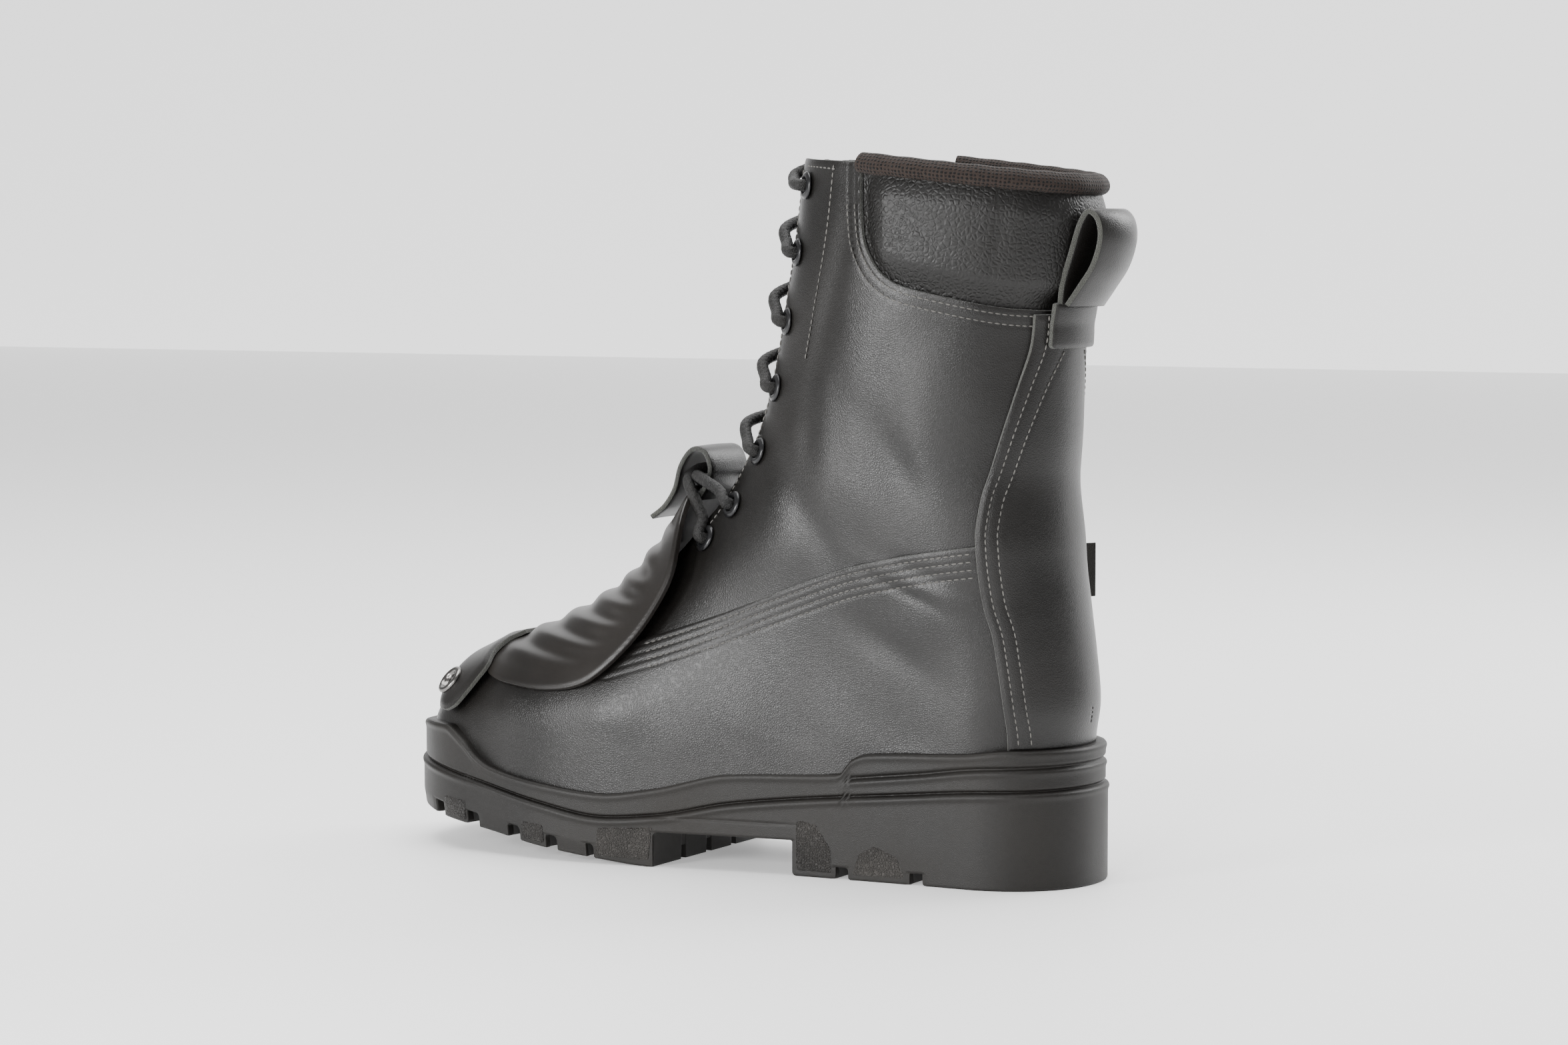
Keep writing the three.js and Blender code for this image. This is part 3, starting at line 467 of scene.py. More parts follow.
def lathe(points, sides, at, direction):
    """Vertices and faces of a turned ring whose section is closed, on an axis."""
    points = np.array(points, float)
    direction = unit(np.array(direction, float))
    helper = np.array([0, 0, 1.0]) if abs(direction[2]) < 0.9 else np.array([1.0, 0, 0])
    u = unit(np.cross(helper, direction))
    v = np.cross(direction, u)
    angle = np.linspace(0, 2 * np.pi, sides, endpoint=False)
    circle = u[None] * np.cos(angle)[:, None] + v[None] * np.sin(angle)[:, None]
    vertices = (np.array(at)[None, None] + circle[None] * points[:, :1, None]
                + direction[None, None] * points[:, 1:, None]).reshape(-1, 3)
    n, faces = len(points), []
    for k in range(n):
        for c in range(sides):
            d, m = (c + 1) % sides, (k + 1) % n
            faces.append([k * sides + c, k * sides + d, m * sides + d, m * sides + c])
    return vertices, faces


# ---------------------------------------------------------------- materials
def node(tree, kind, inputs=None, **settings):
    made = tree.nodes.new(kind)
    for key, value in settings.items():
        setattr(made, key, value)
    for key, value in (inputs or {}).items():
        socket = made.inputs[key]
        if isinstance(value, bpy.types.NodeSocket):
            tree.links.new(value, socket)
        else:
            socket.default_value = value
    return made


def grain_group(name, cell, fine, crease, crease_size):
    """Height and tone of a grained surface: cells, fine pores and long soft creases, in metres."""
    tree = bpy.data.node_groups.new(name, "ShaderNodeTree")
    tree.interface.new_socket("Height", in_out="OUTPUT", socket_type="NodeSocketFloat")
    tree.interface.new_socket("Tone", in_out="OUTPUT", socket_type="NodeSocketFloat")
    where = node(tree, "ShaderNodeTexCoord").outputs["Object"]
    warp = node(tree, "ShaderNodeTexNoise", {"Vector": where, "Scale": 1 / (cell * 3), "Detail": 2})
    shift = node(tree, "ShaderNodeVectorMath", {0: warp.outputs["Color"], 1: (cell, cell, cell)},
                 operation="MULTIPLY")
    moved = node(tree, "ShaderNodeVectorMath", {0: where, 1: shift.outputs[0]}, operation="ADD").outputs[0]
    cells = node(tree, "ShaderNodeTexVoronoi", {"Vector": moved, "Scale": 1 / cell},
                 feature="DISTANCE_TO_EDGE").outputs["Distance"]
    pad = node(tree, "ShaderNodeMapRange", {"Value": cells, "From Min": 0.0, "From Max": 0.32},
               interpolation_type="SMOOTHSTEP").outputs["Result"]
    pores = node(tree, "ShaderNodeTexNoise", {"Vector": where, "Scale": 1 / fine, "Detail": 4}).outputs["Fac"]
    long = node(tree, "ShaderNodeTexNoise", {"Vector": where, "Scale": 1 / crease_size, "Detail": 3,
                                             "Distortion": 0.6}).outputs["Fac"]
    a = node(tree, "ShaderNodeMath", {0: pores, 1: 0.45}, operation="MULTIPLY").outputs[0]
    b = node(tree, "ShaderNodeMath", {0: pad, 1: 1.0}, operation="MULTIPLY").outputs[0]
    c = node(tree, "ShaderNodeMath", {0: long, 1: crease}, operation="MULTIPLY").outputs[0]
    ab = node(tree, "ShaderNodeMath", {0: a, 1: b}, operation="ADD").outputs[0]
    total = node(tree, "ShaderNodeMath", {0: ab, 1: c}, operation="ADD").outputs[0]
    blotch = node(tree, "ShaderNodeTexNoise", {"Vector": where, "Scale": 22.0, "Detail": 5}).outputs["Fac"]
    out = node(tree, "NodeGroupOutput")
    tree.links.new(total, out.inputs["Height"])
    tree.links.new(blotch, out.inputs["Tone"])
    return tree


def surface(name, dark, light, rough, group=None, bump=0.3, depth=0.0002, sheen=0.0, coat=0.0,
            metallic=0.0, specular=0.5):
    """Material with two tones, a roughness that varies with them and a bump from a shared group."""
    material = bpy.data.materials.new(name)
    material.use_nodes = True
    tree = material.node_tree
    shader = tree.nodes["Principled BSDF"]
    shader.inputs["Metallic"].default_value = metallic
    shader.inputs["Specular IOR Level"].default_value = specular
    shader.inputs["Sheen Weight"].default_value = sheen
    shader.inputs["Coat Weight"].default_value = coat
    shader.inputs["Coat Roughness"].default_value = 0.25
    if group is None:
        where = node(tree, "ShaderNodeTexCoord").outputs["Object"]
        height = node(tree, "ShaderNodeTexNoise",
                      {"Vector": where, "Scale": 900.0, "Detail": 4}).outputs["Fac"]
        tone = node(tree, "ShaderNodeTexNoise", {"Vector": where, "Scale": 30.0, "Detail": 5}).outputs["Fac"]
    else:
        used = node(tree, "ShaderNodeGroup")
        used.node_tree = group
        height, tone = used.outputs["Height"], used.outputs["Tone"]
    ramp = node(tree, "ShaderNodeValToRGB", {"Fac": tone})
    ramp.color_ramp.elements[0].position, ramp.color_ramp.elements[1].position = 0.3, 0.72
    ramp.color_ramp.elements[0].color = (*dark, 1)
    ramp.color_ramp.elements[1].color = (*light, 1)
    tree.links.new(ramp.outputs["Color"], shader.inputs["Base Color"])
    gloss = node(tree, "ShaderNodeMapRange", {"Value": tone, "From Min": 0.25, "From Max": 0.75,
                                              "To Min": rough[0], "To Max": rough[1]})
    tree.links.new(gloss.outputs["Result"], shader.inputs["Roughness"])
    lift = node(tree, "ShaderNodeBump", {"Strength": bump, "Distance": depth, "Height": height})
    tree.links.new(lift.outputs["Normal"], shader.inputs["Normal"])
    return material


fine_grain = grain_group("fine_leather_grain", 0.0009, 0.00025, 0.8, 0.011)
pebble_grain = grain_group("pebbled_leather_grain", 0.0021, 0.0005, 0.5, 0.016)
rubber_grain = grain_group("moulded_rubber_grain", 0.0006, 0.0002, 0.25, 0.02)
rough_grain = grain_group("rough_lug_grain", 0.0012, 0.0006, 0.6, 0.004)
fuzz_grain = grain_group("cut_edge_fibres", 0.0007, 0.0003, 0.8, 0.003)

leather = surface("smooth_black_leather", (0.0042, 0.0038, 0.0034), (0.0095, 0.0085, 0.0077), (0.27, 0.42),
                  fine_grain, 0.22, 0.0002, specular=0.4)
pebbled = surface("pebbled_black_leather", (0.0045, 0.0042, 0.0039), (0.010, 0.0092, 0.0085), (0.36, 0.5),
                  pebble_grain, 0.4, 0.0004, specular=0.34)
cut_edge = surface("cut_leather_edge", (0.02, 0.021, 0.018), (0.055, 0.056, 0.047), (0.75, 0.95), fuzz_grain,
                   0.7, 0.0004, sheen=0.2)
rubber = surface("black_sole_rubber", (0.0045, 0.0038, 0.0031), (0.0115, 0.0098, 0.008), (0.42, 0.6),
                 rubber_grain, 0.25, 0.00015, specular=0.35)
rough_rubber = surface("rough_lug_rubber", (0.008, 0.007, 0.006), (0.045, 0.041, 0.037), (0.45, 0.7),
                       rough_grain, 0.9, 0.0008, specular=0.4)
guard_rubber = surface("guard_moulding", (0.0055, 0.0045, 0.0038), (0.012, 0.0098, 0.0082), (0.28, 0.4),
                       rubber_grain, 0.15, 0.00012, specular=0.45)
thread = surface("grey_thread", (0.055, 0.052, 0.048), (0.125, 0.12, 0.11), (0.6, 0.75), None, 0.4, 0.0001)
dark_thread = surface("black_thread", (0.03, 0.03, 0.028), (0.07, 0.068, 0.064), (0.55, 0.7),
                      None, 0.4, 0.0001)
lacquer = surface("black_lacquered_metal", (0.012, 0.012, 0.013), (0.02, 0.02, 0.021), (0.22, 0.34),
                  None, 0.05, 5e-05, metallic=0.4)
worn_metal = surface("dark_metal_ring", (0.12, 0.115, 0.11), (0.3, 0.29, 0.28), (0.2, 0.35),
                     None, 0.05, 5e-05, metallic=1.0)
foam_cloth = surface("footbed_cloth", (0.012, 0.012, 0.014), (0.026, 0.026, 0.03), (0.8, 0.95),
                     fuzz_grain, 0.6, 0.0003, sheen=0.2)


def mesh_cloth():
    """Open knitted mesh: rows of small holes in a brown-black cloth, with painted shade making the holes
    near-black.
    """
    material = surface("brown_mesh_cloth", (0.008, 0.005, 0.004), (0.02, 0.014, 0.011), (0.7, 0.85),
                       None, 0.2, 0.0001, sheen=0.03, specular=0.25)
    tree = material.node_tree
    shader = tree.nodes["Principled BSDF"]
    uv = node(tree, "ShaderNodeTexCoord").outputs["UV"]
    holes = node(tree, "ShaderNodeTexVoronoi",
                 {"Vector": uv, "Scale": 620.0, "Randomness": 0.25}).outputs["Distance"]
    open_ = node(tree, "ShaderNodeMapRange",
                 {"Value": holes, "From Min": 0.22, "From Max": 0.42}).outputs["Result"]
    ramp = node(tree, "ShaderNodeValToRGB", {"Fac": open_})
    # the holes' near-black colour is painted shade inside the openings; the cloth between them keeps its own
    # brown-black
    ramp.color_ramp.elements[0].color = (0.0012, 0.001, 0.0009, 1)
    ramp.color_ramp.elements[1].color = (0.021, 0.0135, 0.0105, 1)
    tree.links.new(ramp.outputs["Color"], shader.inputs["Base Color"])
    lift = node(tree, "ShaderNodeBump", {"Strength": 0.9, "Distance": 0.0005, "Height": open_})
    tree.links.new(lift.outputs["Normal"], shader.inputs["Normal"])
    return material


mesh_binding = mesh_cloth()
lining_cloth = surface("lining_cloth", (0.008, 0.0072, 0.0065), (0.022, 0.02, 0.018), (0.8, 0.95), fuzz_grain,
                       0.5, 0.0003, sheen=0.05, specular=0.25)
braid = surface("braided_cord", (0.0025, 0.0024, 0.0023), (0.013, 0.012, 0.011), (0.4, 0.65), fuzz_grain, 0.7,
                0.00025, sheen=0.02, specular=0.35)


def settle(piece, body, slot, *nodes):
    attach(piece, body)
    if nodes:
        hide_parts(*nodes)
    return piece


# ---------------------------------------------------------------- the upper's panels
SEAM = spline([[-60, 146], [-14, 141], [13, 137], [37, 132], [54, 127], [84, 116], [102, 109], [130, 99],
               [158, 90]], 10)
COLLAR_EDGE = [[-60, 236], [-35, 237.5], [-22, 239], [-3, 243], [14, 247], [22, 250.5], [28, 256], [33, 266]]
collar_edge_z = through(COLLAR_EDGE)
collar_line = np.vstack([spline(COLLAR_EDGE + [[34.5, 280]], 10), [[34.5, 299]]])
BACKSTAY = spline([[-33.5, 236], [-32, 222], [-28, 206], [-23, 187], [-19, 172], [-16, 162], [-14, 149],
                   [-14, 141], [-15, 129], [-17, 116], [-20, 105], [-22, 93], [-25, 71], [-25.5, 57.5]], 8)
slot_line = [[-FACING_EDGE_X, 330], [-FACING_EDGE_X, 165], [-15, 140], [-10, 112], [10, 112], [15, 140],
             [FACING_EDGE_X, 165], [FACING_EDGE_X, 330]]


def collar_top_z(y):
    return 289 + 0.11 * y


skin = Skin(330, 540)
slot_gap = np.where(skin.y > 45, -inside_of(skin.x, skin.z, slot_line), 30.0)
eyelet_gap = np.full(skin.x.shape, 30.0)
for side in (-1, 1):
    for ey, ez in EYELETS:
        centre, _ = side_at(side, ey, ez)
        eyelet_gap = np.minimum(eyelet_gap, np.linalg.norm(skin.p - centre, axis=-1) - 3.5)


def soft_lump(y, z, at_y, at_z, long, high, turn=0.0):
    """A smooth bump on the side of the boot, stretched along a direction."""
    c, s = math.cos(turn), math.sin(turn)
    u, v = (y - at_y) * c + (z - at_z) * s, -(y - at_y) * s + (z - at_z) * c
    return np.exp(-(u / long) ** 2 - (v / high) ** 2)


def leather_relief(y, z):
    """The soft folds and hollows of worn leather at the ankle and the instep."""
    folds = (1.3 * soft_lump(y, z, 38, 162, 22, 13, 0.9) - 1.2 * soft_lump(y, z, 22, 178, 26, 9, 0.9)
             - 1.0 * soft_lump(y, z, 62, 150, 24, 8, 1.0) + 0.8 * soft_lump(y, z, 12, 112, 20, 12, 0.5)
             - 0.8 * soft_lump(y, z, 26, 98, 24, 7, 0.55) - 0.7 * soft_lump(y, z, 48, 200, 9, 40, -0.15)
             + 0.6 * soft_lump(y, z, 6, 196, 20, 22, 0.3) - 0.5 * soft_lump(y, z, 2, 128, 26, 4, 0.35)
             - 0.4 * soft_lump(y, z, 18, 122, 20, 2.5, 0.4) + 0.35 * soft_lump(y, z, 8, 124, 16, 3, 0.35))
    ripple = 0.24 * np.sin(y / 8.5 + 1.4 * np.sin(z / 19)) * np.sin(z / 12.5 + 1.1 * np.sin(y / 23))
    return folds + ripple * (1 - ease(215, 235, y))


relief = leather_relief(skin.y, skin.z)

vamp_outline = np.vstack([SEAM, [[161, 100], [157, 114], [149, 124], [144, 145], [320, 145], [320, -30],
                                 [-120, -30], [-120, 149]]])
vamp_field = inside_of(skin.y, skin.z, vamp_outline)
seam_gap = line_distance(skin.y, skin.z, SEAM)
stitch_hollow = -0.18 * sum(np.exp(-((seam_gap - d) / 0.7) ** 2) for d in (2.4, 5.6, 8.9, 12.1))
vamp = panel("vamp_leather", skin, vamp_field, OUTER, LEATHER, leather, cut_edge, soft=0.4,
             relief=relief * ease(0, 12, skin.z - 50) + stitch_hollow * (vamp_field > 0), round_edge=1.4)
settle(vamp, "boot", "smooth_leather", "vamp")

collar_gap = line_distance(skin.y, skin.z, collar_line)
quarter_outline = np.vstack([[[-120, 137], [-60, 137]], SEAM - [0, 9], [[166, 84], [170, 130], [120, 303]],
                             [[82, 301], [60, 299.5], [34.5, 298.2]], collar_line[::-1], [[-120, 236]]])
quarter_field = np.minimum(inside_of(skin.y, skin.z, quarter_outline), np.minimum(slot_gap, eyelet_gap))
quarter_hollow = -0.18 * sum(np.exp(-((collar_gap - d) / 0.7) ** 2) for d in (2.4, 6.4))
facing_fold = (-0.9 * np.exp(-((skin.y - mix(62, 40, ease(190, 290, skin.z))) / 7) ** 2)
               * ease(150, 190, skin.z))
for side, name in ((-1, "left"), (1, "right")):
    field = np.minimum(quarter_field, side * skin.x - GAP)
    piece = panel(f"quarter_leather_{name}", skin, field, 0.0, LEATHER, leather, cut_edge, soft=0.45,
                  relief=relief + (quarter_hollow + facing_fold) * (field > 0), round_edge=1.3)
    settle(piece, "boot", "smooth_leather", f"quarter_{name}")
    backer_outline = [[19.6, 298.5], [36, 297.5], [36, 132], [15.5, 132], [19.6, 165]]
    backer = np.minimum(np.minimum(inside_of(skin.x * side, skin.z, backer_outline), eyelet_gap),
                        np.where(skin.y > 40, 30.0, -1.0))
    piece = panel(f"facing_backer_{name}", skin, backer, -OUTER, 1.5, leather, cut_edge, soft=0.1)
    settle(piece, "boot", "smooth_leather", f"facing_{name}")

backstay_outline = np.vstack([BACKSTAY, [[-90, 57.5], [-90, 236]]])
backstay_field = inside_of(skin.y, skin.z, backstay_outline)
back_gap = line_distance(skin.y, skin.z, BACKSTAY)
back_hollow = -0.18 * sum(np.exp(-((back_gap - d) / 0.7) ** 2) for d in (3.2, 7.0))
over_vamp = (OUTER + GAP) * (1 - ease(138, 172, skin.z))
backstay = panel("backstay_leather", skin, backstay_field, OUTER + over_vamp, LEATHER + 0.4, leather,
                 cut_edge, soft=0.5, relief=(back_hollow + 0.5 * relief) * (backstay_field > 0),
                 round_edge=1.5)
settle(backstay, "boot", "smooth_leather", "backstay")

collar_outline = np.vstack([collar_line[:-6] - [0, 8], [[42, 262], [42, 294]], [[-90, 294], [-90, 228]]])
collar_field = np.minimum(inside_of(skin.y, skin.z, collar_outline), collar_top_z(skin.y) + 3 - skin.z)
puff = (ease(0, 13, skin.z - collar_edge_z(skin.y)) * ease(-4, 13, collar_top_z(skin.y) + 4 - skin.z)
        * ease(0, 12, 33 - skin.y))
collar = panel("collar_panel_leather", skin, collar_field, -OUTER + 5 * puff, 1.3, pebbled, cut_edge,
               soft=0.1,
               relief=0.5 * puff * (soft_lump(skin.y, skin.z, -8, 262, 30, 9, 0.1)
                                    - soft_lump(skin.y, skin.z, 8, 274, 14, 3, 0.8)
                                    - soft_lump(skin.y, skin.z, -24, 268, 3, 16, 0.2)))
settle(collar, "boot", "pebbled_leather", "collar_panel", "collar_foam")


def lining_depth(y, z):
    return mix(-5.0, -9.2, ease(215, 236, z) * ease(0, 12, 42 - y))


inner_skin = Skin(170, 260)
opening = np.where(inner_skin.y > 40, -inside_of(inner_skin.x, inner_skin.z,
                                                 [[-38, 340], [-38, 128], [38, 128], [38, 340]]), 30.0)
top_edge = through([[-70, 284], [38, 291.5], [100, 293]])(inner_skin.y) - inner_skin.z
lining = panel("lining_cloth", inner_skin, np.minimum(opening, top_edge),
               lining_depth(inner_skin.y, inner_skin.z), 2.0, lining_cloth, lining_cloth, soft=0.1, back=True)
settle(lining, "boot", "lining", "lining")

tongue_field = inside_of(skin.x, skin.z, [[-33, 285], [-28, 292], [28, 292], [33, 285], [33, 150], [26, 132],
                                          [-26, 132], [-33, 150]])
tongue_field = np.minimum(tongue_field, inside_of(skin.y, skin.z, [[50, 310], [50, 240], [58, 195], [76, 155],
                                                                   [92, 128], [180, 128], [180, 310]]))
tongue_waves = 0.8 * np.sin(skin.z / 7.5) * ease(0, 10, tongue_field)
tongue = panel("tongue_leather", skin, tongue_field, -9.8, 3.8, pebbled, cut_edge, soft=0.8, back=True,
               relief=np.minimum(tongue_waves - 0.8, 0) * 0.6, round_edge=2.5)
settle(tongue, "boot", "pebbled_leather", "tongue")

# ---------------------------------------------------------------- metatarsal guard
guard_rise = through([[110, 13], [125, 10.5], [145, 7.5], [170, 4.8], [200, 3.8], [232, 3.6]])
GUARD_T = 2.5
guard_edge = spline([[226, 76], [217, 73.5], [206, 72], [187, 71], [170, 73], [157, 79], [141, 94],
                     [128, 112], [122.5, 125], [121.5, 140]], 8)
guard_outline = np.vstack([guard_edge, [[123, 153], [200, 158], [260, 140], [232, 84]]])
guard_field = np.minimum(inside_of(skin.y, skin.z, guard_outline), 153.5 - skin.z)
RIB_PITCH = 16.5
front_run = skin.share * front.length
rib = np.cos(2 * np.pi * (front_run - 62) / RIB_PITCH)
rib_fade = ease(4, 16, guard_field) * ease(0, 12, skin.y - 130)
guard = panel("guard_moulding", skin, guard_field, guard_rise(skin.y) + GUARD_T, GUARD_T, guard_rubber,
              guard_rubber, soft=0.7, relief=0.9 * rib * rib_fade - 0.4, back=True, round_edge=1.6)
settle(guard, "guard", "guard_rubber", "guard_shell")

RIVET_AT = (239, 67)
strap_edge = spline([[237, 58], [231, 61], [222, 71], [219, 76], [220.5, 81], [215, 87], [204, 96],
                     [190, 105], [186, 112]], 8)
strap_front = spline([[234, 120], [243, 92], [247.5, 78], [248, 66], [243.5, 59], [237, 58]], 8)
strap_field = inside_of(skin.y, skin.z, np.vstack([strap_edge, [[186, 125]], strap_front[:-1]]))
strap_rise = (mix(guard_rise(232.0) + GUARD_T + GAP, OUTER + 5 * GAP, ease(237, 250, skin.y))
              + np.where(skin.y < 232, guard_rise(skin.y) - guard_rise(232.0), 0))
strap = panel("toe_strap_leather", skin, strap_field, strap_rise + 2.4, 1.9, leather, cut_edge, soft=0.9,
              relief=0.5 * rib * rib_fade * (skin.y < 228), back=True, round_edge=3.0)
settle(strap, "guard", "smooth_leather", "guard_toe_strap")
for side, name in ((-1, "left"), (1, "right")):
    seat = float(mix(guard_rise(232.0) + GUARD_T + GAP, OUTER + 5 * GAP, ease(237, 250, RIVET_AT[0])) + 2.4)
    at, out = side_at(side, *RIVET_AT, seat)
    vertices, faces = lathe([[2.6, -1.5], [6.7, -0.4], [7.0, 0.5], [6.6, 1.3], [5.6, 1.75], [4.5, 1.5],
                             [3.9, 0.7], [3.7, -0.2], [0.001, -0.3], [0.001, -1.5]], 48, at, out)
    rivet = new_object(f"rivet_ring_{name}", vertices, faces, [worn_metal])
    settle(rivet, "guard", "lacquered_metal", f"guard_rivet_{name}")

# ---------------------------------------------------------------- sole
sole_width = through([[-53, 41.5], [20, 41.5], [60, 41], [95, 43], [130, 49], [165, 55], [190, 57],
                      [210, 56], [272, 50]])
sole_centre = through([[-53, 0], [10, 0], [60, -2], [100, -3.5], [150, -2], [200, 2], [262, 6]])
sole_split = through([[-53, 41], [-20, 40.2], [22, 36.5], [64, 32.5], [97, 28.5], [130, 22], [155, 20],
                      [187, 24.5], [225, 32], [250, 36], [272, 38.5]])
heel_groove = through([[-53, 51], [-19.5, 50], [12.5, 46], [46.5, 42]])
tread_z = through([[-53, 0], [132, 0], [155, 2], [188, 6], [215, 10.5], [250, 15], [272, 18]])
LUG_GAPS = [[160, 4], [179, 6], [199, 7], [222, 7], [244, 7]]
HEEL_GAPS = [[45, 6], [11, 6]]
HEEL_GAP_Z = 5.0


def sole_half(y):
    return (sole_width(y) * round_off((y - HEEL_REAR_Y) / 42, 2.1)
            * round_off((TOE_Y - y) / 50, 2.3))


def hollow(at, middle, size):
    return np.exp(-((at - middle) / size) ** 2)


class Wall:
    """The outside of the sole: rows climb from the tread to the rim, columns run once round."""
    def __init__(self, rows, columns):
        climb, self.turn = np.meshgrid(np.linspace(-0.01, 1.01, rows), np.linspace(0, 2, columns + 1),
                                       indexing="ij")
        half_turn = np.where(self.turn <= 1, self.turn, 2 - self.turn)
        self.y = mix(HEEL_REAR_Y, TOE_Y, (1 - np.cos(np.pi * half_turn)) / 2)
        side = np.where(self.turn <= 1, -1, 1)
        self.x = sole_centre(self.y) + side * sole_half(self.y)
        self.z = mix(tread_z(self.y), rim_top(self.y), climb)
        self.p = np.stack([self.x, self.y, self.z], -1)
        level = self.p.copy()
        level[..., 2] = climb * 50
        self.n = grid_normals(level)
        self.n[..., 2] = 0
        self.n = unit(self.n)


wall = Wall(150, 420)
low = wall.z - tread_z(wall.y)
wall_field = np.minimum(low, rim_top(wall.y) - wall.z)
arch = np.maximum(np.maximum(HEEL_BREAST_Y - wall.y, wall.y - FORE_TREAD_Y), wall.z - WAIST_Z)
wall_field = np.minimum(wall_field, arch)
for y, width in LUG_GAPS:
    wall_field = np.minimum(wall_field, np.maximum(abs(wall.y - y) - width / 2, low - LUG_DEPTH))
for y, width in HEEL_GAPS:
    wall_field = np.minimum(wall_field, np.maximum(abs(wall.y - y) - width / 2, low - HEEL_GAP_Z))
above = wall.z - sole_split(wall.y)
heel_part = 1 - ease(40, 47, wall.y)
wall_shape = (-1.0 * ease(-0.4, 0.4, above) - 1.0 * hollow(above, 0.2, 0.7) + 0.55 * hollow(above, -2.0, 1.2)
              - 1.2 * heel_part * hollow(wall.z, heel_groove(wall.y), 0.9)
              + 0.5 * heel_part * hollow(wall.z, heel_groove(wall.y) - 2.2, 1.2)
              + 0.45 * hollow(wall.z, rim_top(wall.y) - 1.6, 1.3)
              - 0.35 * hollow(wall.z, WAIST_Z + 6.5, 0.6) * ease(60, 80, wall.y)
              * (1 - ease(120, 140, wall.y))
              - 0.8 * (1 - ease(0, 7, low)) * ease(120, 150, wall.y))
outsole_field = np.minimum(wall_field, -above)
midsole_field = np.minimum(wall_field, above)
outsole = panel("outsole_wall", wall, outsole_field, 0.0, 4.0, rubber, rubber, soft=0.5, relief=wall_shape,
                round_edge=0.9)
settle(outsole, "boot", "sole_rubber")
midsole = panel("midsole_rand", wall, midsole_field, 0.0, 6.5, rubber, rubber, soft=0.5, relief=wall_shape,
                round_edge=0.9)
settle(midsole, "boot", "midsole", "midsole")

for name, outline in (("forefoot", [[133, 3], [157, 3.5], [156, 15.5], [131, 17]]),
                      ("heel_front", [[50, 2.5], [66, 2.5], [66, 24], [57, 22], [50, 12]]),
                      ("heel_middle", [[16, 2.5], [40, 2.5], [37, 11], [30, 15], [20, 11]]),
                      ("toe_lug", [[226, 13.5], [239, 15], [239, 23], [226, 22]]),
                      ("ball_lug", [[183, 7], [194, 8.5], [194, 16], [183, 15]])):
    field = np.minimum(inside_of(wall.y, wall.z, np.array(outline, float)), wall_field - 0.8)
    patch = panel(f"rough_patch_{name}", wall, field, 0.35, 1.0, rough_rubber, rough_rubber, soft=0.35,
                  relief=wall_shape, round_edge=0.8)
    settle(patch, "boot", "sole_rubber")


def tread():
    """The underside: lugs, the heel's channels and the ribbed waist, as one sheet."""
    steps = [HEEL_BREAST_Y, FORE_TREAD_Y] + [y + s * w / 2 for y, w in LUG_GAPS + HEEL_GAPS for s in (-1, 1)]
    ys = np.unique(np.concatenate([np.arange(-50.5, 270, 1.1)]
                                  + [[e - 0.5, e - 0.15, e + 0.15, e + 0.5] for e in steps]))
    splits = [0.05, 0.42, 0.5]
    us = np.unique(np.concatenate([np.linspace(0, 1, 40)] + [[s - 0.012, s, s + 0.012] for s in splits]))
    us = np.concatenate([-us[:0:-1], us])
    row, u = np.meshgrid(ys, us, indexing="ij")
    y = row - 6 * (1 - abs(u)) * ease(133, 150, row) * (1 - ease(246, 262, row))
    depth = np.zeros_like(row)
    for at, width in LUG_GAPS:
        depth = np.maximum(depth, LUG_DEPTH * (abs(row - at) < width / 2))
    split = (abs(u) < 0.05) | (abs(abs(u) - 0.46) < 0.04)
    depth = np.maximum(depth, LUG_DEPTH * ((row > FORE_TREAD_Y) & split))
    for at, width in HEEL_GAPS:
        depth = np.maximum(depth, HEEL_GAP_Z * ((abs(row - at) < width / 2) & (abs(u) > 0.45)))
    z = tread_z(y) + depth
    waist = (row > HEEL_BREAST_Y) & (row < FORE_TREAD_Y)
    z = np.where(waist, WAIST_Z + 0.4 + 0.7 * np.cos(2 * np.pi * row / 5.2), z) + 0.12
    x = sole_centre(y) + u * np.maximum(sole_half(y) - 1.6, 0)
    faces = grid_faces(len(ys), len(us), flip=False)
    return new_object("tread_sheet", np.stack([x, y, z], -1).reshape(-1, 3), faces, [rubber])


settle(tread(), "boot", "sole_rubber")
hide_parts("outsole")

# ---------------------------------------------------------------- binding, lace, loops and label
def skin_at(share, turn, offset):
    """Places round the upper at ring shares, off the quarter's outside, with their normals."""
    share, turn = np.broadcast_arrays(np.asarray(share, float), np.asarray(turn, float))

    def at(s, t):
        return skin_points(s, np.mod(t, 2))
    n = unit(np.cross(at(share + 0.004, turn) - at(share - 0.004, turn),
                      at(share, turn + 0.012) - at(share, turn - 0.012)))
    return at(share, turn) + n * np.asarray(offset, float)[..., None], n


ring = np.linspace(-0.6, 0.6, 221)
binding_line, _ = skin_at(np.full(ring.shape, 0.975), ring, np.full(ring.shape, -2.6))
binding_line[:, 2] = collar_top_z(binding_line[:, 1]) + 4.2 + 0.9
binding = tube("collar_binding_roll", binding_line, 4.4, mesh_binding, sides=24, wide=1.12,
               relief=lambda run, angle: 0.12 * np.sin(run / 2.3) + 0.1 * np.sin(angle * 3))
settle(binding, "boot", "mesh_binding", "collar_binding")


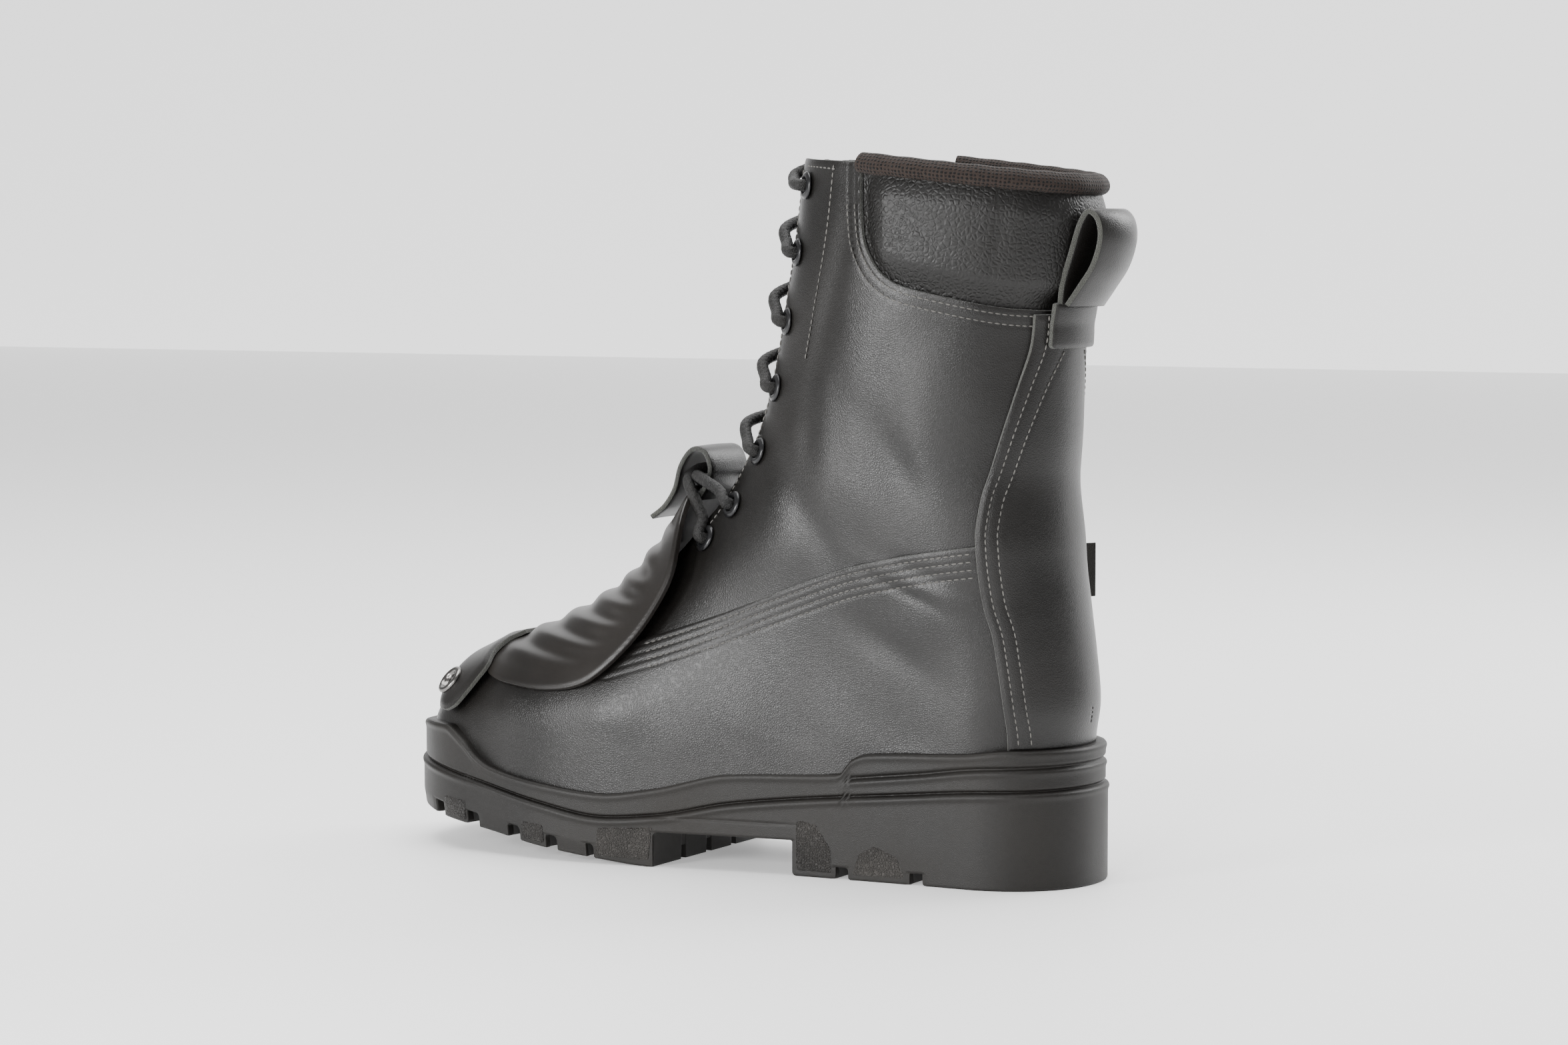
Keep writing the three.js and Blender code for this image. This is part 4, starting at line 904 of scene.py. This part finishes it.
def lace_line():
    """The lace from its left tucked end, down through the eyelets and the guard's loop, to the right."""
    def z_at(i, t):
        return mix(EYELETS[i][1], EYELETS[i + 1][1], t)

    def stops(side, i):
        return [side_at(side, *map(float, EYELETS[i]), o)[0] for o in (-6.85, -2.4, 3.8)]

    def loop_crossing(side):
        lane = [[22, 123, 147.5, 0], [20, 128.5, 156.5, 0], [15.5, 133.5, 163.5, 0], [8, 133, 164, 3.1],
                [0, 131, 164.4, 3.3], [-8, 129.6, 164.4, 3.1], [-15.5, 129.4, 165, 0], [-21.5, 122, 163.4, 0],
                [-25, 113, 159.5, 0]]
        return [np.array([side * x, y, z - side * c]) for x, y, z, c in lane]

    def crossing(side, i):
        at = [[side * 21, 0.12, 3.4], [side * 12, 0.32, 4.2 - side * 1.5], [0, 0.5, -0.8 - side * 2.9],
              [-side * 14, 0.74, -6.85], [-side * 20.5, 0.88, -6.85]]
        return [front_at(x, z_at(i, t), o)[0] for x, t, o in at]

    def hidden(side, i):
        at = [[side * 20.5, 0.14, -6.85], [side * 14, 0.28, -6.85], [0, 0.52, -4 - side * 2.8],
              [-side * 14, 0.74, -6.85], [-side * 20.5, 0.88, -6.85]]
        return [front_at(x, z_at(i, t), o)[0] for x, t, o in at]

    def tucked(side):
        return [np.array([side * x, y, z]) for x, y, z in
                [[21, 79, 291], [13.5, 82, 294], [10, 76, 296.8], [9.3, 67, 297.4], [9, 61, 293],
                 [9, 59.5, 283], [9, 60, 245]]]

    def half(first):
        line = stops(first, 0) + loop_crossing(first) + stops(-first, 1)[::-1] + hidden(-first, 1)
        for i in range(2, 7):
            side = first if i % 2 == 0 else -first
            line += stops(side, i) + (crossing(side, i) if i < 6 else tucked(side))
        return line
    bar = [front_at(x, 137, LACE_UNDER)[0] for x in (-12, 0, 12)]
    return np.array(half(-1)[::-1] + bar + half(1))


def centripetal(points, step=0.55):
    """Centripetal Catmull-Rom line through points, at an even pitch."""
    p = np.vstack([2 * points[0] - points[1], points, 2 * points[-1] - points[-2]])
    out = []
    for k in range(1, len(p) - 2):
        a, b, c, d = p[k - 1:k + 3]
        t0, t1 = 0.0, np.linalg.norm(b - a) ** 0.5
        t2 = t1 + np.linalg.norm(c - b) ** 0.5
        t3 = t2 + np.linalg.norm(d - c) ** 0.5
        t = np.linspace(t1, t2, 16, endpoint=False)[:, None]
        a1 = (t1 - t) / (t1 - t0) * a + (t - t0) / (t1 - t0) * b
        a2 = (t2 - t) / (t2 - t1) * b + (t - t1) / (t2 - t1) * c
        a3 = (t3 - t) / (t3 - t2) * c + (t - t2) / (t3 - t2) * d
        b1 = (t2 - t) / (t2 - t0) * a1 + (t - t0) / (t2 - t0) * a2
        b2 = (t3 - t) / (t3 - t1) * a2 + (t - t1) / (t3 - t1) * a3
        out.append((t2 - t) / (t2 - t1) * b1 + (t - t1) / (t2 - t1) * b2)
    return spaced(np.vstack(out + [p[-2:-1]]), step)


def plait(run, angle):
    """Diagonal strands of a braided cord."""
    one = np.sin(angle * 4 + run * 2.1)
    two = np.sin(angle * 4 - run * 2.1)
    return 0.17 * np.maximum(one, two)


lace = tube("braided_lace", centripetal(lace_line()), LACE_R, braid, sides=20, relief=plait)
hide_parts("lace")
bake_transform(lace)

LACE_LOOP = [[129, 155], [124.5, 162], [123, 169], [126, 175.5], [132, 176], [137.5, 169], [140.5, 159],
             [145.5, 151.5], [152, 146.5]]
band = spline(LACE_LOOP, 12)
loop_strap = sweep("guard_lace_loop_band", np.column_stack([np.zeros(len(band)), band]),
                   np.array([1.0, 0, 0]), 32, 2.2, leather, cut_edge, bulge=0.3)
settle(loop_strap, "guard", "guard_rubber", "guard_lace_loop")

PULL_LOOP = [[-46.5, 239.4], [-47.6, 249], [-51.6, 262], [-55.2, 273], [-59, 278], [-63.2, 274.5],
             [-64.2, 266.5], [-61, 256], [-55, 247], [-49.8, 239.8]]
hoop = spline(PULL_LOOP, 12)
pull = sweep("heel_pull_loop", np.column_stack([np.zeros(len(hoop)), hoop]), np.array([1.0, 0, 0]), 36, 2.4,
             leather, cut_edge, steps=14)


def wrap_round(obj, far):
    """Curves a flat strap forward at its two edges, as it lies round the heel."""
    for v in obj.data.vertices:
        v.co.y += far * MM * min(abs(v.co.x) / (18 * MM), 1.0) ** 2


wrap_round(pull, 4.5)
settle(pull, "pull_loop_body", "smooth_leather", "pull_loop")
tab_outline = np.array([[-18, 222.5], [18, 222.5], [18, 241], [-18, 241]], float)
tab_field = np.where(skin.y < 0, inside_of(skin.x, skin.z, tab_outline), -5.0)
tab = panel("pull_loop_base", skin, tab_field, 5.2, 2.6, leather, cut_edge, soft=0.7,
            relief=-0.3 * hollow(skin.z, 232, 3.0), round_edge=1.2)
settle(tab, "boot", "smooth_leather", "pull_loop_tab")

LABEL_ROOT, LABEL_OUT = np.array([35.2, -19.5, 126.0]), np.array([0.87, -0.49, 0.0])
flat = centripetal(np.array([LABEL_ROOT + LABEL_OUT * (4.6 + d) for d in (0, 4.5, 9, 13.2)]), 0.5)
tag = sweep("woven_label_tab", flat, np.array([0, 0, 1.0]), 23.0, 1.0, lining_cloth, dark_thread)
settle(tag, "label_body", "woven_label", "label")

# ---------------------------------------------------------------- eyelets
eyelet_vertices, eyelet_faces, count = [], [], 0
for side in (-1, 1):
    for ey, ez in EYELETS:
        at, out = side_at(side, float(ey), float(ez), GAP)
        v, f = lathe([[3.1, 0.9], [3.6, 1.35], [4.7, 1.25], [5.7, 0.75], [6.0, 0.2], [5.9, 0.0], [3.9, 0.0],
                      [3.9, -4.4], [3.2, -4.4]], 36, at, out)
        eyelet_vertices.append(v)
        eyelet_faces += [[k + count for k in face] for face in f]
        count += len(v)
eyelets = new_object("eyelet_rings", np.vstack(eyelet_vertices), eyelet_faces, [lacquer])
settle(eyelets, "boot", "lacquered_metal",
       *[f"eyelet_{name}_{i}" for name in ("left", "right") for i in range(1, 8)])


# ---------------------------------------------------------------- stitching
def moved_line(line, distance):
    """A line beside another in the side view; a positive distance lies to its right."""
    step = unit(np.gradient(line, axis=0))
    return line + distance * np.column_stack([step[:, 1], -step[:, 0]])


def stitch_tree():
    """Puts one stitch on each point, laid along its direction, and gives it the thread's material."""
    tree = bpy.data.node_groups.new("stitches", "GeometryNodeTree")
    tree.interface.new_socket("Geometry", in_out="INPUT", socket_type="NodeSocketGeometry")
    long = tree.interface.new_socket("Stitch Length", in_out="INPUT", socket_type="NodeSocketFloat")
    thick = tree.interface.new_socket("Thread Radius", in_out="INPUT", socket_type="NodeSocketFloat")
    thread_in = tree.interface.new_socket("Thread", in_out="INPUT", socket_type="NodeSocketMaterial")
    tree.interface.new_socket("Geometry", in_out="OUTPUT", socket_type="NodeSocketGeometry")
    given = node(tree, "NodeGroupInput")
    capsule = node(tree, "GeometryNodeMeshUVSphere", {"Segments": 8, "Rings": 5, "Radius": 1.0})
    size = node(tree, "ShaderNodeCombineXYZ", {"X": given.outputs["Thread Radius"],
                                               "Y": given.outputs["Thread Radius"],
                                               "Z": given.outputs["Stitch Length"]})
    shaped = node(tree, "GeometryNodeTransform",
                  {"Geometry": capsule.outputs["Mesh"], "Scale": size.outputs[0]})
    heading = node(tree, "GeometryNodeInputNamedAttribute", data_type="FLOAT_VECTOR")
    heading.inputs["Name"].default_value = "heading"
    turned = node(tree, "FunctionNodeAlignRotationToVector",
                  {"Vector": heading.outputs["Attribute"]}, axis="Z")
    placed = node(tree, "GeometryNodeInstanceOnPoints", {"Points": given.outputs["Geometry"],
                                                         "Instance": shaped.outputs["Geometry"],
                                                         "Rotation": turned.outputs["Rotation"]})
    real = node(tree, "GeometryNodeRealizeInstances", {"Geometry": placed.outputs["Instances"]})
    painted = node(tree, "GeometryNodeSetMaterial", {"Geometry": real.outputs["Geometry"],
                                                     "Material": given.outputs["Thread"]})
    smooth = node(tree, "GeometryNodeSetShadeSmooth", {"Geometry": painted.outputs["Geometry"]})
    out = node(tree, "NodeGroupOutput")
    tree.links.new(smooth.outputs["Geometry"], out.inputs["Geometry"])
    return tree, (long.identifier, thick.identifier, thread_in.identifier)


stitches, stitch_inputs = stitch_tree()


def sew(name, rows, material, body="boot", slot="smooth_leather", pitch=3.0, long=1.15, radius=0.36):
    """Rows of separate stitches along lines of places, as one object."""
    points, headings = [], []
    for row in rows:
        line = spaced(row, pitch)
        if len(line) < 3:
            continue
        points.append(line)
        headings.append(unit(np.gradient(line, axis=0)))
    cloud = new_object(name + "_places", np.vstack(points), [], [])
    attribute = cloud.data.attributes.new("heading", "FLOAT_VECTOR", "POINT")
    attribute.data.foreach_set("vector", np.vstack(headings).ravel())
    modifier = cloud.modifiers.new("stitches", "NODES")
    modifier.node_group = stitches
    for identifier, value in zip(stitch_inputs, (long * MM, radius * MM, material)):
        modifier[identifier] = value
    bpy.context.view_layer.update()
    made = bpy.data.meshes.new_from_object(cloud.evaluated_get(bpy.context.evaluated_depsgraph_get()))
    made.name = name
    bpy.data.objects.remove(cloud)
    obj = bpy.data.objects.new(name, made)
    bpy.context.collection.objects.link(obj)
    if not made.materials:
        made.materials.append(material)
    return settle(obj, body, slot)


def on_side(side, line, offset):
    line = spaced(np.asarray(line, float), 1.2)
    folds = leather_relief(line[:, 0], line[:, 1])
    return side_at(side, line[:, 0], line[:, 1], np.asarray(offset) + folds)[0]


LIGHT_ROW = 0.05
vamp_rows, quarter_rows, back_rows, facing_rows = [], [], [], []
seam_part = spaced(SEAM[(SEAM[:, 0] > -13) & (SEAM[:, 0] < 142)], 1.0)
for side in (-1, 1):
    for d in (2.4, 5.6, 8.9, 12.1):
        vamp_rows.append(on_side(side, moved_line(seam_part, d), OUTER - 0.1 + LIGHT_ROW))
    for d in (2.4, 6.4):
        row = moved_line(collar_line, d)
        row = row[(row[:, 0] > -34) & (row[:, 1] < 297)]
        quarter_rows.append(on_side(side, row, LIGHT_ROW - 0.1))
    back_line = BACKSTAY[(BACKSTAY[:, 1] > 60) & (BACKSTAY[:, 1] < 235)]
    for d in (3.2, 7.0):
        row = moved_line(back_line, -d if back_line[0, 1] < back_line[-1, 1] else d)
        high = OUTER + (OUTER + GAP) * (1 - ease(138, 172, spaced(row, 1.2)[:, 1]))
        back_rows.append(side_at(side, *spaced(row, 1.2).T, high - 0.05
                                 + 0.5 * leather_relief(*spaced(row, 1.2).T))[0])
    for row in ([[49, 296], [54, 262], [60, 236], [64, 218]], [[67, 297], [58, 296.4], [49, 295.6]]):
        facing_rows.append(on_side(side, spline(row, 12), LIGHT_ROW - 0.1))
    edge_row = []
    for z in np.arange(146, 296, 1.5):
        edge_row.append(front_at(side * (FACING_EDGE_X + 2.4 + 1.2 * float(ease(165, 150, z))), z, 0.0)[0])
    facing_rows.append(np.array(edge_row))
sew("vamp_stitches", vamp_rows, thread)
sew("quarter_stitches", quarter_rows + facing_rows, thread)
sew("backstay_stitches", back_rows, thread)

# ---------------------------------------------------------------- the inside parts kept from the CAD model
board = surface("pressed_board", (0.1, 0.075, 0.05), (0.2, 0.155, 0.11), (0.75, 0.9), fuzz_grain, 0.5, 0.0003)
cap_plastic = surface("moulded_cap_plastic", (0.05, 0.05, 0.052), (0.09, 0.09, 0.094), (0.4, 0.6),
                      rubber_grain, 0.2, 0.0001)
woven_plate = surface("woven_plate", (0.35, 0.33, 0.25), (0.55, 0.52, 0.42), (0.7, 0.85),
                      rough_grain, 0.4, 0.0002)
steel = surface("spring_steel", (0.25, 0.26, 0.28), (0.42, 0.43, 0.45), (0.25, 0.45), None, 0.1, 0.00005,
                metallic=1.0)
for name, material in (("toe_cap", cap_plastic), ("heel_counter", board), ("insole_board", board),
                       ("puncture_plate", woven_plate), ("shank", steel), ("footbed", foam_cloth)):
    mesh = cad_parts[name].data
    mesh.materials.clear()
    mesh.materials.append(material)

# ---------------------------------------------------------------- floor, light and camera
pale = bpy.data.materials.new("pale_floor")
pale.use_nodes = True
pale.node_tree.nodes["Principled BSDF"].inputs["Base Color"].default_value = (0.9, 0.9, 0.9, 1)
pale.node_tree.nodes["Principled BSDF"].inputs["Roughness"].default_value = 0.55
bpy.ops.mesh.primitive_plane_add(size=12, location=(0, 0, 0))
floor = bpy.context.object
floor.name = "floor"
pale.node_tree.nodes["Principled BSDF"].inputs["Emission Color"].default_value = (1, 1, 1, 1)
pale.node_tree.nodes["Principled BSDF"].inputs["Emission Strength"].default_value = 0.3
floor.data.materials.append(pale)
glow = bpy.data.materials.new("pale_backdrop")
glow.use_nodes = True
glow.node_tree.nodes["Principled BSDF"].inputs["Emission Color"].default_value = (1, 1, 1, 1)
glow.node_tree.nodes["Principled BSDF"].inputs["Emission Strength"].default_value = 1.3
bpy.ops.mesh.primitive_plane_add(size=14, location=(5.9, 2, 5), rotation=(0, -math.pi / 2, 0))
backdrop = bpy.context.object
backdrop.name = "backdrop"
backdrop.data.materials.append(glow)

world = bpy.data.worlds.new("studio")
bpy.context.scene.world = world
world.use_nodes = True
world.node_tree.nodes["Background"].inputs["Color"].default_value = (1, 1, 1, 1)
world.node_tree.nodes["Background"].inputs["Strength"].default_value = 0.42


def soft_light(name, place, aim, size, power):
    light = bpy.data.lights.new(name, "AREA")
    light.shape, light.size, light.size_y, light.energy = "RECTANGLE", size[0], size[1], power
    obj = bpy.data.objects.new(name, light)
    bpy.context.collection.objects.link(obj)
    obj.location = place
    obj.rotation_euler = (Vector(aim) - Vector(place)).to_track_quat("-Z", "Y").to_euler()


soft_light("key_light", (-1.5, 0.72, 0.42), (0, 0.1, 0.12), (0.42, 0.6), 24)
soft_light("side_light", (-1.75, -0.2, 0.7), (0, 0.1, 0.1), (0.36, 0.36), 14)
soft_light("top_light", (0.2, 0.3, 2.6), (0, 0.1, 0.15), (2.2, 2.2), 100)
soft_light("back_light", (1.3, -0.7, 1.0), (0, 0.1, 0.15), (0.8, 0.8), 16)

camera = bpy.data.cameras.new("camera")
camera.lens, camera.sensor_width = 91.2, 36.0
camera.clip_start, camera.clip_end = 0.05, 30
eye = bpy.data.objects.new("camera", camera)
bpy.context.collection.objects.link(eye)
eye.location = (-1.4984, -0.7150, 0.2695)
eye.rotation_euler = (Vector((0, 0.0952, 0.145)) - eye.location).to_track_quat("-Z", "Y").to_euler()
bpy.context.scene.camera = eye
